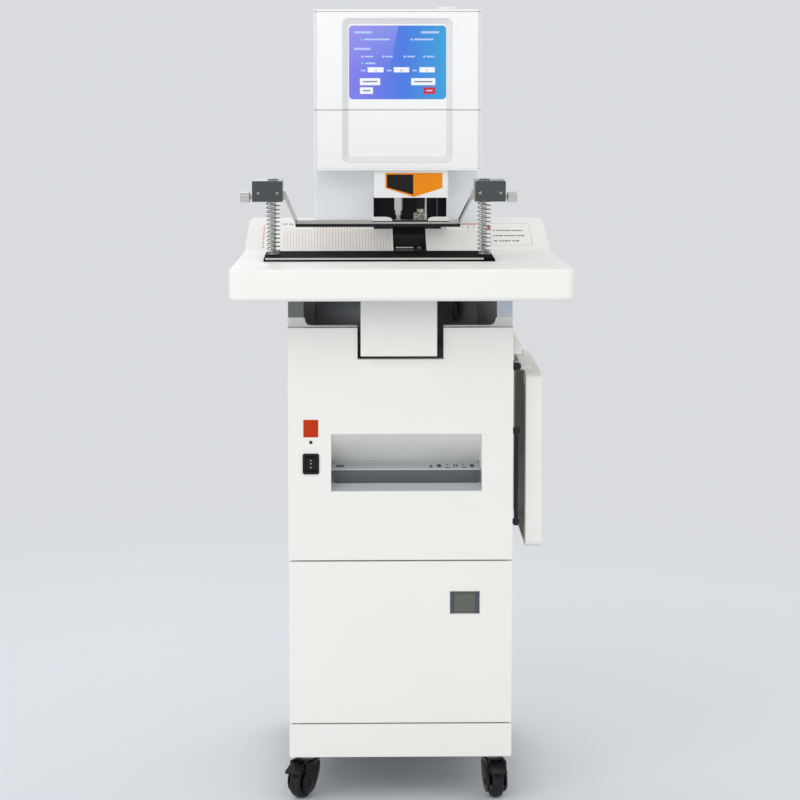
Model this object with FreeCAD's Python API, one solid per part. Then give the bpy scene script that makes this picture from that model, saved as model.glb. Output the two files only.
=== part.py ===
import FreeCAD, Part

# Document riveting machine on a shredder cabinet, as separate pieces. Millimetres, +Z up, the front faces -Y,
# and the origin is on the floor under the middle of the whole machine.

import math
import os

from FreeCAD import Vector

os.makedirs("parts", exist_ok=True)

# ---- Driving dimensions -------------------------------------------------------------------------------------
TABLE_WIDTH = 532.0
MACHINE_DEPTH = 590.0
CASTER_HEIGHT = 70.0
CABINET_WIDTH = 356.0
CABINET_TOP = 763.0
TABLE_BOTTOM = 816.0
LEDGE_TOP = 866.0
TABLE_TAPER = 17.0
DECK_RISE = 44.0
HEAD_BOTTOM = 998.0
HEAD_TOP = 1263.0
HEAD_WIDTH = 277.0
HEAD_SEAM = (1097.0, 1098.0)
COLUMN_WIDTH = 277.0
SHEET = 1.5
MOULDED = 4.0
CLEAR = 0.3

# ---- Depths, from the table's front edge --------------------------------------------------------------------
FRONT = -MACHINE_DEPTH / 2
BACK = MACHINE_DEPTH / 2
CABINET_FRONT = FRONT + 112.0
CABINET_BACK = BACK - 8.0
DECK_START = FRONT + 355.0
TABLE_BACK = FRONT + 485.0
HEAD_FRONT = FRONT + 350.0
COLUMN_FRONT = FRONT + 440.0

# ---- Cabinet fronts -----------------------------------------------------------------------------------------
WALL = CABINET_WIDTH / 2
WALL_IN = WALL - SHEET
PANEL_DEEP = 19.0
FLANGE = 25.0
FLANGE_FACE = CABINET_FRONT + PANEL_DEEP + 1.0
DOOR_BOTTOM = 125.0
DOOR_TOP = 390.0
SEAM = 1.2
NOTCH_HALF = 68.0
NOTCH_BOTTOM = 713.0
WINDOW = (-110.0, 129.0, 502.0, 594.0)
SWITCH = (-155.0, -129.0, 530.0, 563.0)
LAMP = (-142.0, 581.0)
PULL = (79.0, 126.0, 304.0, 340.0)

# ---- Door pivot ---------------------------------------------------------------------------------------------
DOOR_PIN = (-170.5, CABINET_FRONT + 4.5)
DOOR_PIN_R = 2.0
PIN_PLAY = 0.05

# ---- Shredder -----------------------------------------------------------------------------------------------
SLOT_Y = CABINET_FRONT + 44.5
CUTTER_GAP = 28.0
CUTTER_Z = 446.0
CUTTER_R = 17.0
SHAFT_R = 7.0
DISC = 7.4
DISC_PITCH = 16.0
DISC_COUNT = 14
DISC_START = -102.0
CUTTER_TEETH = 7
GEAR_TEETH = 20
SHELF_Z = 398.0
LIP_EDGE = (37.0, 509.0)
STRIP_EDGE = (50.0, 528.0)
STRIP_BACK = (92.0, 534.0)
THROAT_ENDS = (6.0, 4.5)
FRAME_LEFT = -112.0
FRAME_RIGHT = 131.0

# ---- Table, deck and tools ----------------------------------------------------------------------------------
WELL = (-7.0, 48.0, FRONT + 266.0, FRONT + 415.0)
REST_BAR = (-3.5, 25.5, FRONT + 321.0, FRONT + 331.0, 7.0)
DRILL_X = 2.0
RIVET_X = 38.0
TOOL_Y = 88.0
TOOL_TIP = 906.0
TUBE = (85.0, 170.0)
RAIL_Z = (972.0, 1240.0)
KEY_HALF = 5.0
KEY_Z = (1030.0, 1058.0)
HOUSING = (-39.0, 84.0, 952.0)
RECESS = (-90.0, 89.0, 1012.0, 1247.0)
RECESS_EDGE = 9.0
RECESS_DEEP = 4.0
GLASS = (-79.7, 79.7, 1115.3, 1235.5)
TRAY = (-63.0, 57.0, 721.0, 812.0)
TRAY_FRONT = CABINET_FRONT - 25.0
TRAY_BACK = COLUMN_FRONT - 17.0

# ---- Cable, from the column's front to the table frame ------------------------------------------------
CABLE_R = 4.0
CABLE_START = (105.0, 790.0)
CABLE_TOP = (95.0, 60.0)

# ---- Presser, centred left of the machine's middle ----------------------------------------------------------
PRESS_MID = -33.0
POST_HALF = 169.0
POST_Y = FRONT + 200.0
POST_TOP = 999.0
POST_R = 4.5
PLATE_TOP = 872.0
PLATE_Y = (FRONT + 133.0, FRONT + 265.0)
BLOCK_Z = (958.0, 991.0)
BLOCK_Y = (POST_Y - 30.0, POST_Y + 30.0)
KNOB_Z = 963.5
ARM_Z = 967.0
BAR_HALF = 136.0
BAR_Y = (FRONT + 324.0, FRONT + 336.0)
BAR_Z = (906.0, 917.5)
PAD_THICK = 4.5
COIL_R = 10.6
COIL_WIRE = 1.8
COIL_TURNS = 12
COIL_STEPS = 10

# ---- Side shelf ---------------------------------------------------------------------------------------------
LEAF_X = (201.5, 228.5)
LEAF_Y = (CABINET_FRONT + 40.0, CABINET_FRONT + 360.0)
LEAF_Z = (403.0, 684.0)
LEAF_PIN = (190.0, 690.0)
STRUT_PIN = (188.0, 589.0)
STRUT_LENGTH = 150.0
STRUT_Y = (LEAF_Y[0] + 33.0, LEAF_Y[1] - 33.0)
HINGE_Y = (LEAF_Y[0] + 60.0, LEAF_Y[1] - 60.0)

# ---- Casters ------------------------------------------------------------------------------------------------
WHEEL_R = 25.0
WHEEL_WIDTH = 19.0
TRAIL = 18.0
AXLE_R = 3.0
KINGPIN_R = 5.0
PEDAL_PIN = (24.0, 55.0)
BRAKED = ("front_left", "front_right")
CASTERS = {
    "front_left": (-150.0, CABINET_FRONT + 33.0, -120.0),
    "front_right": (150.0, CABINET_FRONT + 33.0, -80.0),
    "rear_left": (-150.0, CABINET_BACK - 38.0, 75.0),
    "rear_right": (150.0, CABINET_BACK - 38.0, 110.0),
}


# ---- Shape helpers ------------------------------------------------------------------------------------------
def box(x0, x1, y0, y1, z0, z1):
    return Part.makeBox(x1 - x0, y1 - y0, z1 - z0, Vector(x0, y0, z0))


def rod(start, end, radius):
    start, end = Vector(*start), Vector(*end)
    return Part.makeCylinder(radius, (end - start).Length, start, end - start)


def prism(points, direction):
    points = [Vector(*point) for point in points]
    return Part.Face(Part.makePolygon(points + points[:1])).extrude(Vector(*direction))


def prism_x(outline, x0, x1):
    return prism([(x0, y, z) for y, z in outline], (x1 - x0, 0, 0))


def prism_y(outline, y0, y1):
    return prism([(x, y0, z) for x, z in outline], (0, y1 - y0, 0))


def prism_z(outline, z0, z1):
    return prism([(x, y, z0) for x, y in outline], (0, 0, z1 - z0))


def along(edge, axis):
    first, last = edge.Vertexes[0].Point, edge.Vertexes[-1].Point
    run = last - first
    return run.Length > 1e-6 and abs(abs(run.dot(Vector(*axis))) / run.Length - 1.0) < 1e-6


def rounded(shape, radius, chosen):
    return shape.makeFillet(radius, [edge for edge in shape.Edges if chosen(edge)])


def bevelled(shape, size, chosen):
    return shape.makeChamfer(size, [edge for edge in shape.Edges if chosen(edge)])


def round_box(x0, x1, y0, y1, z0, z1, radius, axis):
    return rounded(box(x0, x1, y0, y1, z0, z1), radius, lambda edge: along(edge, axis))


def pan(x0, x1, z0, z1, deep, front, sheet):
    """A folded front panel: a sheet whose four edges turn back."""
    outer = box(x0, x1, front, front + deep, z0, z1)
    return outer.cut(box(x0 + sheet, x1 - sheet, front + sheet, front + deep + 1, z0 + sheet, z1 - sheet))


def beam(start, end, wide, tall):
    """A flat bar between two points, wide along X."""
    start, end = Vector(*start), Vector(*end)
    run = end - start
    up = run.cross(Vector(1, 0, 0)).normalize() * (tall / 2)
    side = Vector(wide / 2, 0, 0)
    corners = [start + side + up, start - side + up, start - side - up, start + side - up]
    return prism([tuple(corner) for corner in corners], tuple(run))


def mirrored(shape, plane_x):
    return shape.mirror(Vector(plane_x, 0, 0), Vector(1, 0, 0))


def group(shapes):
    return Part.makeCompound(shapes)


# ---- Cabinet ------------------------------------------------------------------------------------------------
def base_plate():
    back = CABINET_BACK - 3.8
    plate = box(-WALL_IN + CLEAR, WALL_IN - CLEAR, FLANGE_FACE + SHEET, back, CASTER_HEIGHT, 73.0)
    for side in (-1, 1):
        edge = sorted((side * (WALL_IN - CLEAR), side * (WALL_IN - CLEAR - 3.0)))
        plate = plate.fuse(box(edge[0], edge[1], FLANGE_FACE + SHEET, back, 73.0, 88.0))
    for x, y, _ in CASTERS.values():
        plate = plate.cut(rod((x, y, 60), (x, y, 80), 6.0))
    return plate.removeSplitter()


def side_wall():
    """The right wall, which the front panels cover and the table stands on, with three turned-in flanges."""
    skin = box(WALL_IN, WALL, FLANGE_FACE, CABINET_BACK, CASTER_HEIGHT, TABLE_BOTTOM)
    inner = WALL - FLANGE
    front = box(inner, WALL_IN, FLANGE_FACE, FLANGE_FACE + SHEET, CASTER_HEIGHT, TABLE_BOTTOM)
    rear = box(inner, WALL_IN, CABINET_BACK - 3.5, CABINET_BACK - 2.0, CASTER_HEIGHT, TABLE_BOTTOM)
    top = box(inner, WALL_IN, FLANGE_FACE, CABINET_BACK - 2.0, TABLE_BOTTOM - SHEET, TABLE_BOTTOM)
    return skin.fuse([front, rear, top]).removeSplitter()


def cabinet_rear_panel():
    panel = box(-WALL_IN, WALL_IN, CABINET_BACK - 1.7, CABINET_BACK, CASTER_HEIGHT, TABLE_BOTTOM)
    slots = []
    for row in range(7):
        z = 440.0 + 12.0 * row
        slots += [box(x, x + 90.0, CABINET_BACK - 3, CABINET_BACK + 1, z, z + 4.5) for x in (-110.0, 20.0)]
    inlet = box(-127.5, -98.5, CABINET_BACK - 3, CABINET_BACK + 1, 120.0, 142.0)
    return panel.cut(slots + [inlet])


def upper_front_panel():
    bottom = DOOR_TOP + SEAM
    panel = pan(-WALL, WALL, bottom, CABINET_TOP, FLANGE_FACE - CABINET_FRONT, CABINET_FRONT, SHEET)
    rim_face = FLANGE_FACE - 1.0
    inner = WALL - FLANGE
    rim = box(-inner, inner, rim_face, FLANGE_FACE + 5.0, CABINET_TOP - 6.0, CABINET_TOP + 14.0)
    low, high = CABINET_TOP + 2.0, CABINET_TOP + 40.0
    opening = box(-inner + 2, inner - 2, rim_face - 1, FLANGE_FACE + 6.0, low, high)
    opening = rounded(opening, 10.0, lambda edge: along(edge, (0, 1, 0)))
    panel = panel.fuse(rim.cut(opening))
    lip_x = NOTCH_HALF + SHEET
    lip = box(-lip_x, lip_x, CABINET_FRONT, CABINET_FRONT + PANEL_DEEP, NOTCH_BOTTOM - SHEET, CABINET_TOP)
    notch = box(-NOTCH_HALF, NOTCH_HALF, CABINET_FRONT - 1, FLANGE_FACE + 9, NOTCH_BOTTOM, CABINET_TOP + 9)
    panel = panel.fuse(lip).cut(notch)
    x0, x1, z0, z1 = WINDOW
    window = box(x0, x1, CABINET_FRONT - 1, CABINET_FRONT + 9, z0, z1)
    x0, x1, z0, z1 = SWITCH
    switch = box(x0 + 3, x1 - 3, CABINET_FRONT - 1, CABINET_FRONT + 9, z0 + 3, z1 - 3)
    lamp = rod((LAMP[0], CABINET_FRONT - 1, LAMP[1]), (LAMP[0], CABINET_FRONT + 9, LAMP[1]), 2.0)
    pin = rod((*DOOR_PIN, bottom - 1), (*DOOR_PIN, bottom + 3), DOOR_PIN_R + PIN_PLAY)
    return panel.cut([window, switch, lamp, pin]).removeSplitter()


def plinth_panel():
    top = DOOR_BOTTOM - SEAM
    panel = pan(-WALL, WALL, CASTER_HEIGHT, top, FLANGE_FACE - CABINET_FRONT, CABINET_FRONT, SHEET)
    panel = rounded(panel, 3.0, lambda edge: along(edge, (0, 1, 0)) and edge.BoundBox.ZMax < CASTER_HEIGHT + 1)
    return panel.cut(rod((*DOOR_PIN, top - 3), (*DOOR_PIN, top + 1), DOOR_PIN_R + PIN_PLAY))


def lower_door():
    """A pan door over the walls' edges. Its left return clears the pivot, and two ears carry the bores."""
    z0, z1 = DOOR_BOTTOM + SEAM, DOOR_TOP - SEAM
    left, right = CLEAR - WALL, WALL - CLEAR
    skin = box(left, right, CABINET_FRONT, CABINET_FRONT + SHEET, z0, z1)
    back = pan(left + 13.5, right, z0, z1, PANEL_DEEP, CABINET_FRONT, SHEET)
    door = skin.fuse(back)
    for ear in (z0, z1 - 3.0):
        ear_back = DOOR_PIN[1] + 4.2
        door = door.fuse(box(left, left + 13.5, CABINET_FRONT, ear_back, ear, ear + 3.0))
    door = door.cut(rod((*DOOR_PIN, z0 - 1), (*DOOR_PIN, z1 + 1), DOOR_PIN_R + PIN_PLAY))
    x0, x1, z0, z1 = PULL
    door = door.cut(box(x0 + 1.5, x1 - 1.5, CABINET_FRONT - 1, CABINET_FRONT + 9, z0 + 1.5, z1 - 1.5))
    return door.removeSplitter()


def door_hardware():
    """Two pivot pins, and the magnetic catch on the right wall's flange."""
    grip = SHEET + 1.0
    top = rod((*DOOR_PIN, DOOR_TOP - SEAM - 2.9), (*DOOR_PIN, DOOR_TOP + SEAM + grip), DOOR_PIN_R)
    low = rod((*DOOR_PIN, DOOR_BOTTOM - SEAM - grip), (*DOOR_PIN, DOOR_BOTTOM + SEAM + 2.9), DOOR_PIN_R)
    inner = WALL - FLANGE
    catch = box(inner - 12.0, inner, FLANGE_FACE - 0.5, FLANGE_FACE + 12.0, 240.0, 285.0)
    catch = catch.cut(box(inner - 9.0, inner - 3.0, FLANGE_FACE - 1.0, FLANGE_FACE + 1.0, 245.0, 280.0))
    return group([top, low, catch])


def pull_cup():
    x0, x1, z0, z1 = PULL
    face = CABINET_FRONT
    frame = bevelled(box(x0, x1, face - 1.5, face, z0, z1), 0.8, lambda edge: edge.BoundBox.YMax < face - 1.4)
    cup = frame.fuse(box(x0 + 1.8, x1 - 1.8, face, face + 13.0, z0 + 1.8, z1 - 1.8))
    cup = cup.cut(box(x0 + 6.0, x1 - 6.0, face - 3.0, face + 11.5, z0 + 3.0, z1 - 2.0))
    return cup.fuse(rod((x0 + 5, face - 0.2, z1 - 4), (x1 - 5, face - 0.2, z1 - 4), 0.8))


def pull_flap():
    x0, x1, z0, z1 = PULL
    face = CABINET_FRONT
    plate = box(x0 + 6.4, x1 - 6.4, face - 1.4, face + 0.6, z0 + 3.4, z1 - 4.0)
    barrel = rod((x0 + 6.4, face - 0.2, z1 - 4.0), (x1 - 6.4, face - 0.2, z1 - 4.0), 1.5)
    lip = box(x0 + 6.4, x1 - 6.4, face + 0.6, face + 4.0, z0 + 3.4, z0 + 5.0)
    bore = rod((x0, face - 0.2, z1 - 4.0), (x1, face - 0.2, z1 - 4.0), 0.8 + PIN_PLAY)
    return plate.fuse([barrel, lip]).cut(bore).removeSplitter()


# ---- Shredder -----------------------------------------------------------------------------------------------
def feed_section(points, x0, x1, offset=0.0):
    """A length of the feed recess from its side view, given as (y, z) behind the cabinet's front."""
    wire = Part.makePolygon([Vector(0, CABINET_FRONT + y, z) for y, z in points + points[:1]])
    if offset:
        wire = wire.makeOffset2D(offset, 2)
    face = Part.Face(wire)
    face.translate(Vector(x0, 0, 0))
    return face.extrude(Vector(x1 - x0, 0, 0))


def feed_recess():
    """A moulded mouth: a lip in front, a strip behind, a slope up to the window, and a trough between."""
    x0, x1, z0, z1 = WINDOW
    front = CABINET_FRONT + SHEET
    mouth = [(-2.0, z0), LIP_EDGE, STRIP_EDGE, STRIP_BACK, (-2.0, z1 + 2.6)]
    throat = [LIP_EDGE, (42.0, 486.0), (42.0, 474.0), (47.0, 474.0), (47.0, 486.0), STRIP_EDGE]
    outside = [(-2.0, z0)] + throat + [STRIP_BACK, (-2.0, z1 + 2.6)]
    body = feed_section(outside, x0 - 2.5, x1 + 2.5, 2.5)
    body = body.common(box(x0 - 9, x1 + 9, front, CABINET_FRONT + 99, 474.0, z1 + 9))
    flange = box(x0 - 7.0, x1 + 7.0, front, front + 2.0, z0 - 7.0, z1 + 7.0)
    body = body.fuse(flange).cut(feed_section(mouth, x0, x1))
    ends = (x0 + THROAT_ENDS[0], x1 - THROAT_ENDS[1])
    slot = box(*ends, CABINET_FRONT + 42.0, CABINET_FRONT + 47.0, 460.0, 480.0)
    return body.cut(feed_section(throat, *ends)).cut(slot).removeSplitter()


def shredder_frame():
    """Two bearing plates on feet and the tie bars between them."""
    plates = []
    for x, foot in ((FRAME_LEFT - 4.0, 1.0), (FRAME_RIGHT, 0.0)):
        outline = [
            (CABINET_FRONT + 8, SHELF_Z + 2),
            (CABINET_FRONT + 8, 462),
            (CABINET_FRONT + 24, 471),
            (CABINET_FRONT + 66, 471),
            (CABINET_FRONT + 88, 455),
            (CABINET_FRONT + 88, SHELF_Z + 2),
        ]
        plate = prism_x(outline, x, x + 4.0)
        foot_x = x if foot else x - 12.0
        foot_y = CABINET_FRONT + 70
        plate = plate.fuse(box(foot_x, foot_x + 16.0, foot_y, foot_y + 18, SHELF_Z + 2, SHELF_Z + 5))
        for side in (-1, 1):
            y = SLOT_Y + side * CUTTER_GAP / 2
            plate = plate.cut(rod((x - 1, y, CUTTER_Z), (x + 5, y, CUTTER_Z), SHAFT_R + PIN_PLAY))
        plates.append(plate)
    ties = []
    for y, z in ((CABINET_FRONT + 80.0, 415.0), (CABINET_FRONT + 80.0, 448.0)):
        ties.append(rod((FRAME_LEFT, y, z), (FRAME_RIGHT, y, z), 4.0))
    return plates[0].fuse(plates[1]).fuse(ties).removeSplitter()


def cutter_disc(x, phase):
    """A saw-toothed cutting disc."""
    points = []
    for tooth in range(CUTTER_TEETH):
        angle = phase + 2 * math.pi * tooth / CUTTER_TEETH
        gullet = angle + 0.16
        points.append((SLOT_Y + CUTTER_R * math.cos(angle), CUTTER_Z + CUTTER_R * math.sin(angle)))
        low = CUTTER_R - 3.0
        points.append((SLOT_Y + low * math.cos(gullet), CUTTER_Z + low * math.sin(gullet)))
    return prism_x(points, x, x + DISC)


def involute(base, radius):
    """The polar angle of an involute flank at a radius."""
    roll = math.sqrt(max((radius / base) ** 2 - 1.0, 0.0))
    return roll - math.atan(roll)


def spur_gear(x, wide, phase):
    """A spur gear with involute flanks, thinned a little for backlash."""
    pitch = CUTTER_GAP / 2
    module = CUTTER_GAP / GEAR_TEETH
    base = pitch * math.cos(math.radians(20.0))
    root, tip = pitch - 1.25 * module, pitch + 0.85 * module
    half = math.pi / (2 * GEAR_TEETH) - 0.16 / pitch + involute(base, pitch)
    flank = [(root, half), (base, half)]
    flank += [(radius, half - involute(base, radius)) for radius in (pitch, tip)]
    points = []
    for tooth in range(GEAR_TEETH):
        middle = phase + 2 * math.pi * tooth / GEAR_TEETH
        for radius, angle in flank:
            points.append((radius, middle - angle))
        for radius, angle in reversed(flank):
            points.append((radius, middle + angle))
    outline = [(SLOT_Y + r * math.cos(a), CUTTER_Z + r * math.sin(a)) for r, a in points]
    return prism_x(outline, x, x + wide)


def cutter_shaft(side):
    """A hexagonal shaft with round journals, its stack of discs and its gear. The two stacks interleave."""
    shift = 0.0 if side < 0 else DISC_PITCH / 2
    gear_phase = 0.0 if side < 0 else math.pi / GEAR_TEETH
    hexagon = []
    for flat in range(6):
        angle = math.pi * flat / 3
        hexagon.append((SLOT_Y + SHAFT_R * math.cos(angle), CUTTER_Z + SHAFT_R * math.sin(angle)))
    shaft = prism_x(hexagon, FRAME_LEFT + 1.0, FRAME_RIGHT - 1.0)
    pieces = [spur_gear(FRAME_RIGHT + 5.0, 9.0, gear_phase)]
    for x0, x1 in ((FRAME_LEFT - 3.9, FRAME_LEFT + 1.0), (FRAME_RIGHT - 1.0, FRAME_RIGHT + 5.0)):
        pieces.append(rod((x0, SLOT_Y, CUTTER_Z), (x1, SLOT_Y, CUTTER_Z), SHAFT_R))
    for index in range(DISC_COUNT):
        x = DISC_START + shift + index * DISC_PITCH
        pieces.append(cutter_disc(x, 0.11 * index * (1 if side < 0 else -1)))
    shaft = shaft.fuse(pieces)
    shaft.translate(Vector(0, side * CUTTER_GAP / 2, 0))
    return shaft


def shredder_motor():
    """Gearbox against the left bearing plate, with the motor lying behind the cutters."""
    x1 = FRAME_LEFT - 4.0
    gearbox = box(x1 - 24, x1, CABINET_FRONT + 26, CABINET_FRONT + 160, 406, 492)
    gearbox = bevelled(gearbox, 8.0, lambda edge: along(edge, (1, 0, 0)))
    y = CABINET_FRONT + 126.0
    can = rod((x1, y, 448.0), (x1 + 120.0, y, 448.0), 30.0)
    cap = Part.makeCone(30.0, 24.0, 8.0, Vector(x1 + 120.0, y, 448.0), Vector(1, 0, 0))
    return gearbox.fuse([can, cap])


def shredder_shelf():
    half = WALL_IN - CLEAR
    back = box(-half, half, FLANGE_FACE + SHEET, CABINET_BACK - 4.0, SHELF_Z, SHELF_Z + 2)
    inner = WALL - FLANGE - CLEAR
    front = box(-inner, inner, CABINET_FRONT + 5.0, FLANGE_FACE + SHEET, SHELF_Z, SHELF_Z + 2)
    lip = box(-inner, inner, CABINET_FRONT + 5.0, CABINET_FRONT + 7.0, SHELF_Z + 2, SHELF_Z + 9)
    drop = box(-108.0, 127.0, CABINET_FRONT + 12.0, CABINET_FRONT + 76.0, SHELF_Z - 1, SHELF_Z + 3)
    return back.fuse([front, lip]).cut(drop).removeSplitter()


def waste_bin():
    """An open tapered bin with a turned rim and a hand grip in its front wall."""
    front, back = CABINET_FRONT + 27.0, CABINET_BACK - 22.0

    def tapered(inset, z0, z1, draw):
        low, high = [], []
        for x, y in ((-1, 0), (1, 0), (1, 1), (-1, 1)):
            low_y = (front + inset + draw, back - inset - draw)[y]
            high_y = (front + inset, back - inset)[y]
            low.append(Vector(x * (146.0 - inset - draw), low_y, z0))
            high.append(Vector(x * (146.0 - inset), high_y, z1))
        return Part.makeLoft([Part.makePolygon(low + low[:1]), Part.makePolygon(high + high[:1])], True, True)

    body = tapered(4.0, 73.0, 372.0, 12.0)
    rim = box(-146.0, 146.0, front, back, 366.0, 372.0)
    grip = round_box(-45.0, 45.0, front - 1, front + 40, 318.0, 345.0, 13.0, (0, 1, 0))
    return body.fuse(rim).cut(tapered(7.0, 76.0, 373.0, 12.0)).cut(grip).removeSplitter()


# ---- Switch and lamp ----------------------------------------------------------------------------------------
def switch_body():
    x0, x1, z0, z1 = SWITCH
    face = CABINET_FRONT
    frame = round_box(x0, x1, face - 2.0, face, z0, z1, 3.0, (0, 1, 0))
    inner = WALL - FLANGE - 1.0
    body = frame.fuse(box(-inner, x1 - 3.2, face, face + 24.0, z0 + 3.2, z1 - 3.2))
    terminals = [box(-143.0, -141.0, face + 24.0, face + 32.0, z, z + 6.0) for z in (z0 + 7.0, z1 - 13.0)]
    well = box(x0 + 4.5, x1 - 4.5, face - 3.0, face + 12.0, z0 + 4.5, z1 - 4.5)
    return body.fuse(terminals).cut(well).removeSplitter()


def power_rocker():
    """The rocker stands with its upper half pressed in."""
    x0, x1, z0, z1 = SWITCH
    middle = (z0 + z1) / 2
    y = CABINET_FRONT
    outline = [
        (y - 1.2, middle + 10.0),
        (y - 2.2, middle + 0.5),
        (y - 4.4, middle - 10.0),
        (y + 4.0, middle - 8.0),
        (y + 7.0, middle),
        (y + 4.0, middle + 8.0),
    ]
    return prism_x(outline, x0 + 5.0, x1 - 5.0)


def indicator_lamp():
    lens = rod((LAMP[0], CABINET_FRONT - 1.2, LAMP[1]), (LAMP[0], CABINET_FRONT, LAMP[1]), 2.5)
    return lens.fuse(rod((LAMP[0], CABINET_FRONT, LAMP[1]), (LAMP[0], CABINET_FRONT + 12.0, LAMP[1]), 1.9))


# ---- Table and tray -----------------------------------------------------------------------------------------
def table_solid(inset, bottom):
    """The table's form, level in front and rising behind, and a little narrower towards the back."""
    outline = [
        (FRONT + inset, bottom),
        (FRONT + inset, LEDGE_TOP - inset),
        (DECK_START, LEDGE_TOP - inset),
        (TABLE_BACK - inset, LEDGE_TOP + DECK_RISE - inset),
        (TABLE_BACK - inset, bottom),
    ]
    front = TABLE_WIDTH / 2 - inset
    back = front - TABLE_TAPER
    plan = [(-front, FRONT), (front, FRONT), (back, TABLE_BACK), (-back, TABLE_BACK)]
    plan = prism_z(plan, bottom - 1, LEDGE_TOP + DECK_RISE + 1)
    return prism_x(outline, -front - 1, front + 1).common(plan)


def table_top():
    """A moulded table with soft edges, a hollow underside and an edge that turns in at the bottom."""
    turn = 8.0
    solid = table_solid(0.0, TABLE_BOTTOM)
    solid = rounded(solid, 12.0, lambda edge: along(edge, (0, 0, 1)))
    solid = rounded(solid, turn, lambda edge: edge.BoundBox.ZMax < TABLE_BOTTOM + 1)

    def on_ledge(edge):
        return edge.BoundBox.ZMin > LEDGE_TOP - 1 and edge.BoundBox.YMin < DECK_START - 1

    solid = rounded(solid, 5.0, on_ledge)
    hollow = table_solid(MOULDED, TABLE_BOTTOM + turn).fuse(table_solid(MOULDED + turn, TABLE_BOTTOM - 1.0))
    column = COLUMN_WIDTH / 2 + 1.5
    column = box(-column, column, COLUMN_FRONT - 1.5, TABLE_BACK + 1, TABLE_BOTTOM - 2, HEAD_BOTTOM)
    x0, x1, y0, y1 = WELL
    return solid.cut([hollow, column, box(x0, x1, y0, y1, LEDGE_TOP - 9, LEDGE_TOP + 60)]).removeSplitter()


def table_frame():
    """A steel tray under the table with turned-up sides, and the two rails of the chip tray."""
    half, front, back = 232.0, FRONT + 40.0, COLUMN_FRONT - 3.0
    rib_top = LEDGE_TOP - MOULDED
    plate = box(-half, half, front, back, TABLE_BOTTOM, TABLE_BOTTOM + 2)
    ribs = [box(-half, half, y, y + 2, TABLE_BOTTOM, rib_top) for y in (front, front + 210.0)]
    ribs += [box(x, x + 2, front, DECK_START, TABLE_BOTTOM, rib_top) for x in (-half, half - 2)]
    x0, x1, y0, y1 = DRILL_X - 12.0, DRILL_X + 12.0, TOOL_Y - 12.0, TOOL_Y + 11.0
    chute = box(x0, x1, y0, y1, TABLE_BOTTOM - 1, TABLE_BOTTOM + 9)
    cable = rod((*CABLE_TOP, TABLE_BOTTOM - 1), (*CABLE_TOP, TABLE_BOTTOM + 3), CABLE_R + 0.1)
    frame = plate.fuse(ribs).cut([chute, cable])
    for side, x in ((-1, TRAY[0]), (1, TRAY[1])):
        web = sorted((x + side * 1.0, x + side * 3.0))
        lip = sorted((x - side * 3.6, x + side * 3.0))
        y0 = CABINET_FRONT + 24.0
        frame = frame.fuse(box(web[0], web[1], y0, TRAY_BACK + 4, 800.0, TABLE_BOTTOM))
        frame = frame.fuse(box(lip[0], lip[1], y0, TRAY_BACK + 4, 800.0, 802.0))
    spine = 86.0
    return frame.cut(box(-spine, spine, TOOL_Y + 10, back + 1, TABLE_BOTTOM - 1, rib_top)).removeSplitter()


def chip_tray():
    """A deep open tray that hangs from its side flanges, with a boxed front."""
    x0, x1, z0, z1 = TRAY
    cap = round_box(x0, x1, TRAY_FRONT, CABINET_FRONT + 13.0, z0, z1, 2.0, (0, 0, 1))
    body = box(x0 + 5.0, x1 - 5.0, CABINET_FRONT + 13.0, TRAY_BACK, z0 + 6.0, 804.5)
    flange = box(x0 + 0.5, x1 - 0.5, CABINET_FRONT + 13.0, TRAY_BACK, 802.5, 804.5)
    front = box(x0 + 2.5, x1 - 2.5, TRAY_FRONT + 2.5, CABINET_FRONT + 10.5, z0 + 2.5, z1 - 2.5)
    hollow = box(x0 + 7.0, x1 - 7.0, CABINET_FRONT + 15.5, TRAY_BACK - 2.0, z0 + 8.0, z1)
    return cap.fuse([body, flange]).cut([front, hollow]).removeSplitter()


def anvil_block():
    x0, x1, y0, y1 = WELL
    block = box(x0 + 0.5, x1 - 0.5, y0 + 0.5, y1 - 0.5, 832.0, LEDGE_TOP)
    mat = rod((DRILL_X, TOOL_Y, LEDGE_TOP - 8), (DRILL_X, TOOL_Y, LEDGE_TOP + 1), 7.5)
    chips = rod((DRILL_X, TOOL_Y, 830.0), (DRILL_X, TOOL_Y, LEDGE_TOP), 4.0)
    die = rod((RIVET_X, TOOL_Y, LEDGE_TOP - 8), (RIVET_X, TOOL_Y, LEDGE_TOP + 1), 7.0)
    return block.cut([mat, chips, die])


def lower_dies():
    """The nylon drilling mat, the brass lower rivet die and the steel rest bar in front of them."""
    mat = rod((DRILL_X, TOOL_Y, LEDGE_TOP - 8), (DRILL_X, TOOL_Y, LEDGE_TOP + 1.5), 7.4)
    mat = mat.cut(rod((DRILL_X, TOOL_Y, LEDGE_TOP - 9), (DRILL_X, TOOL_Y, LEDGE_TOP + 2), 3.6))
    die = rod((RIVET_X, TOOL_Y, LEDGE_TOP - 8), (RIVET_X, TOOL_Y, LEDGE_TOP + 2.5), 6.9)
    die = die.cut(Part.makeCone(1.0, 4.0, 2.0, Vector(RIVET_X, TOOL_Y, LEDGE_TOP + 0.6)))
    x0, x1, y0, y1, tall = REST_BAR
    bar = box(x0, x1, y0, y1, LEDGE_TOP, LEDGE_TOP + tall)
    bar = bevelled(bar, 1.0, lambda edge: edge.BoundBox.ZMin > LEDGE_TOP + 2)
    return group([mat, die, bar])


# ---- Presser ------------------------------------------------------------------------------------------------
def press_base_plate():
    half = PRESS_MID + POST_HALF + 14.0
    plate = box(2 * PRESS_MID - half, half, PLATE_Y[0], PLATE_Y[1], LEDGE_TOP, PLATE_TOP)
    return bevelled(plate, 3.0, lambda edge: edge.BoundBox.ZMin > PLATE_TOP - 1)


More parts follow.
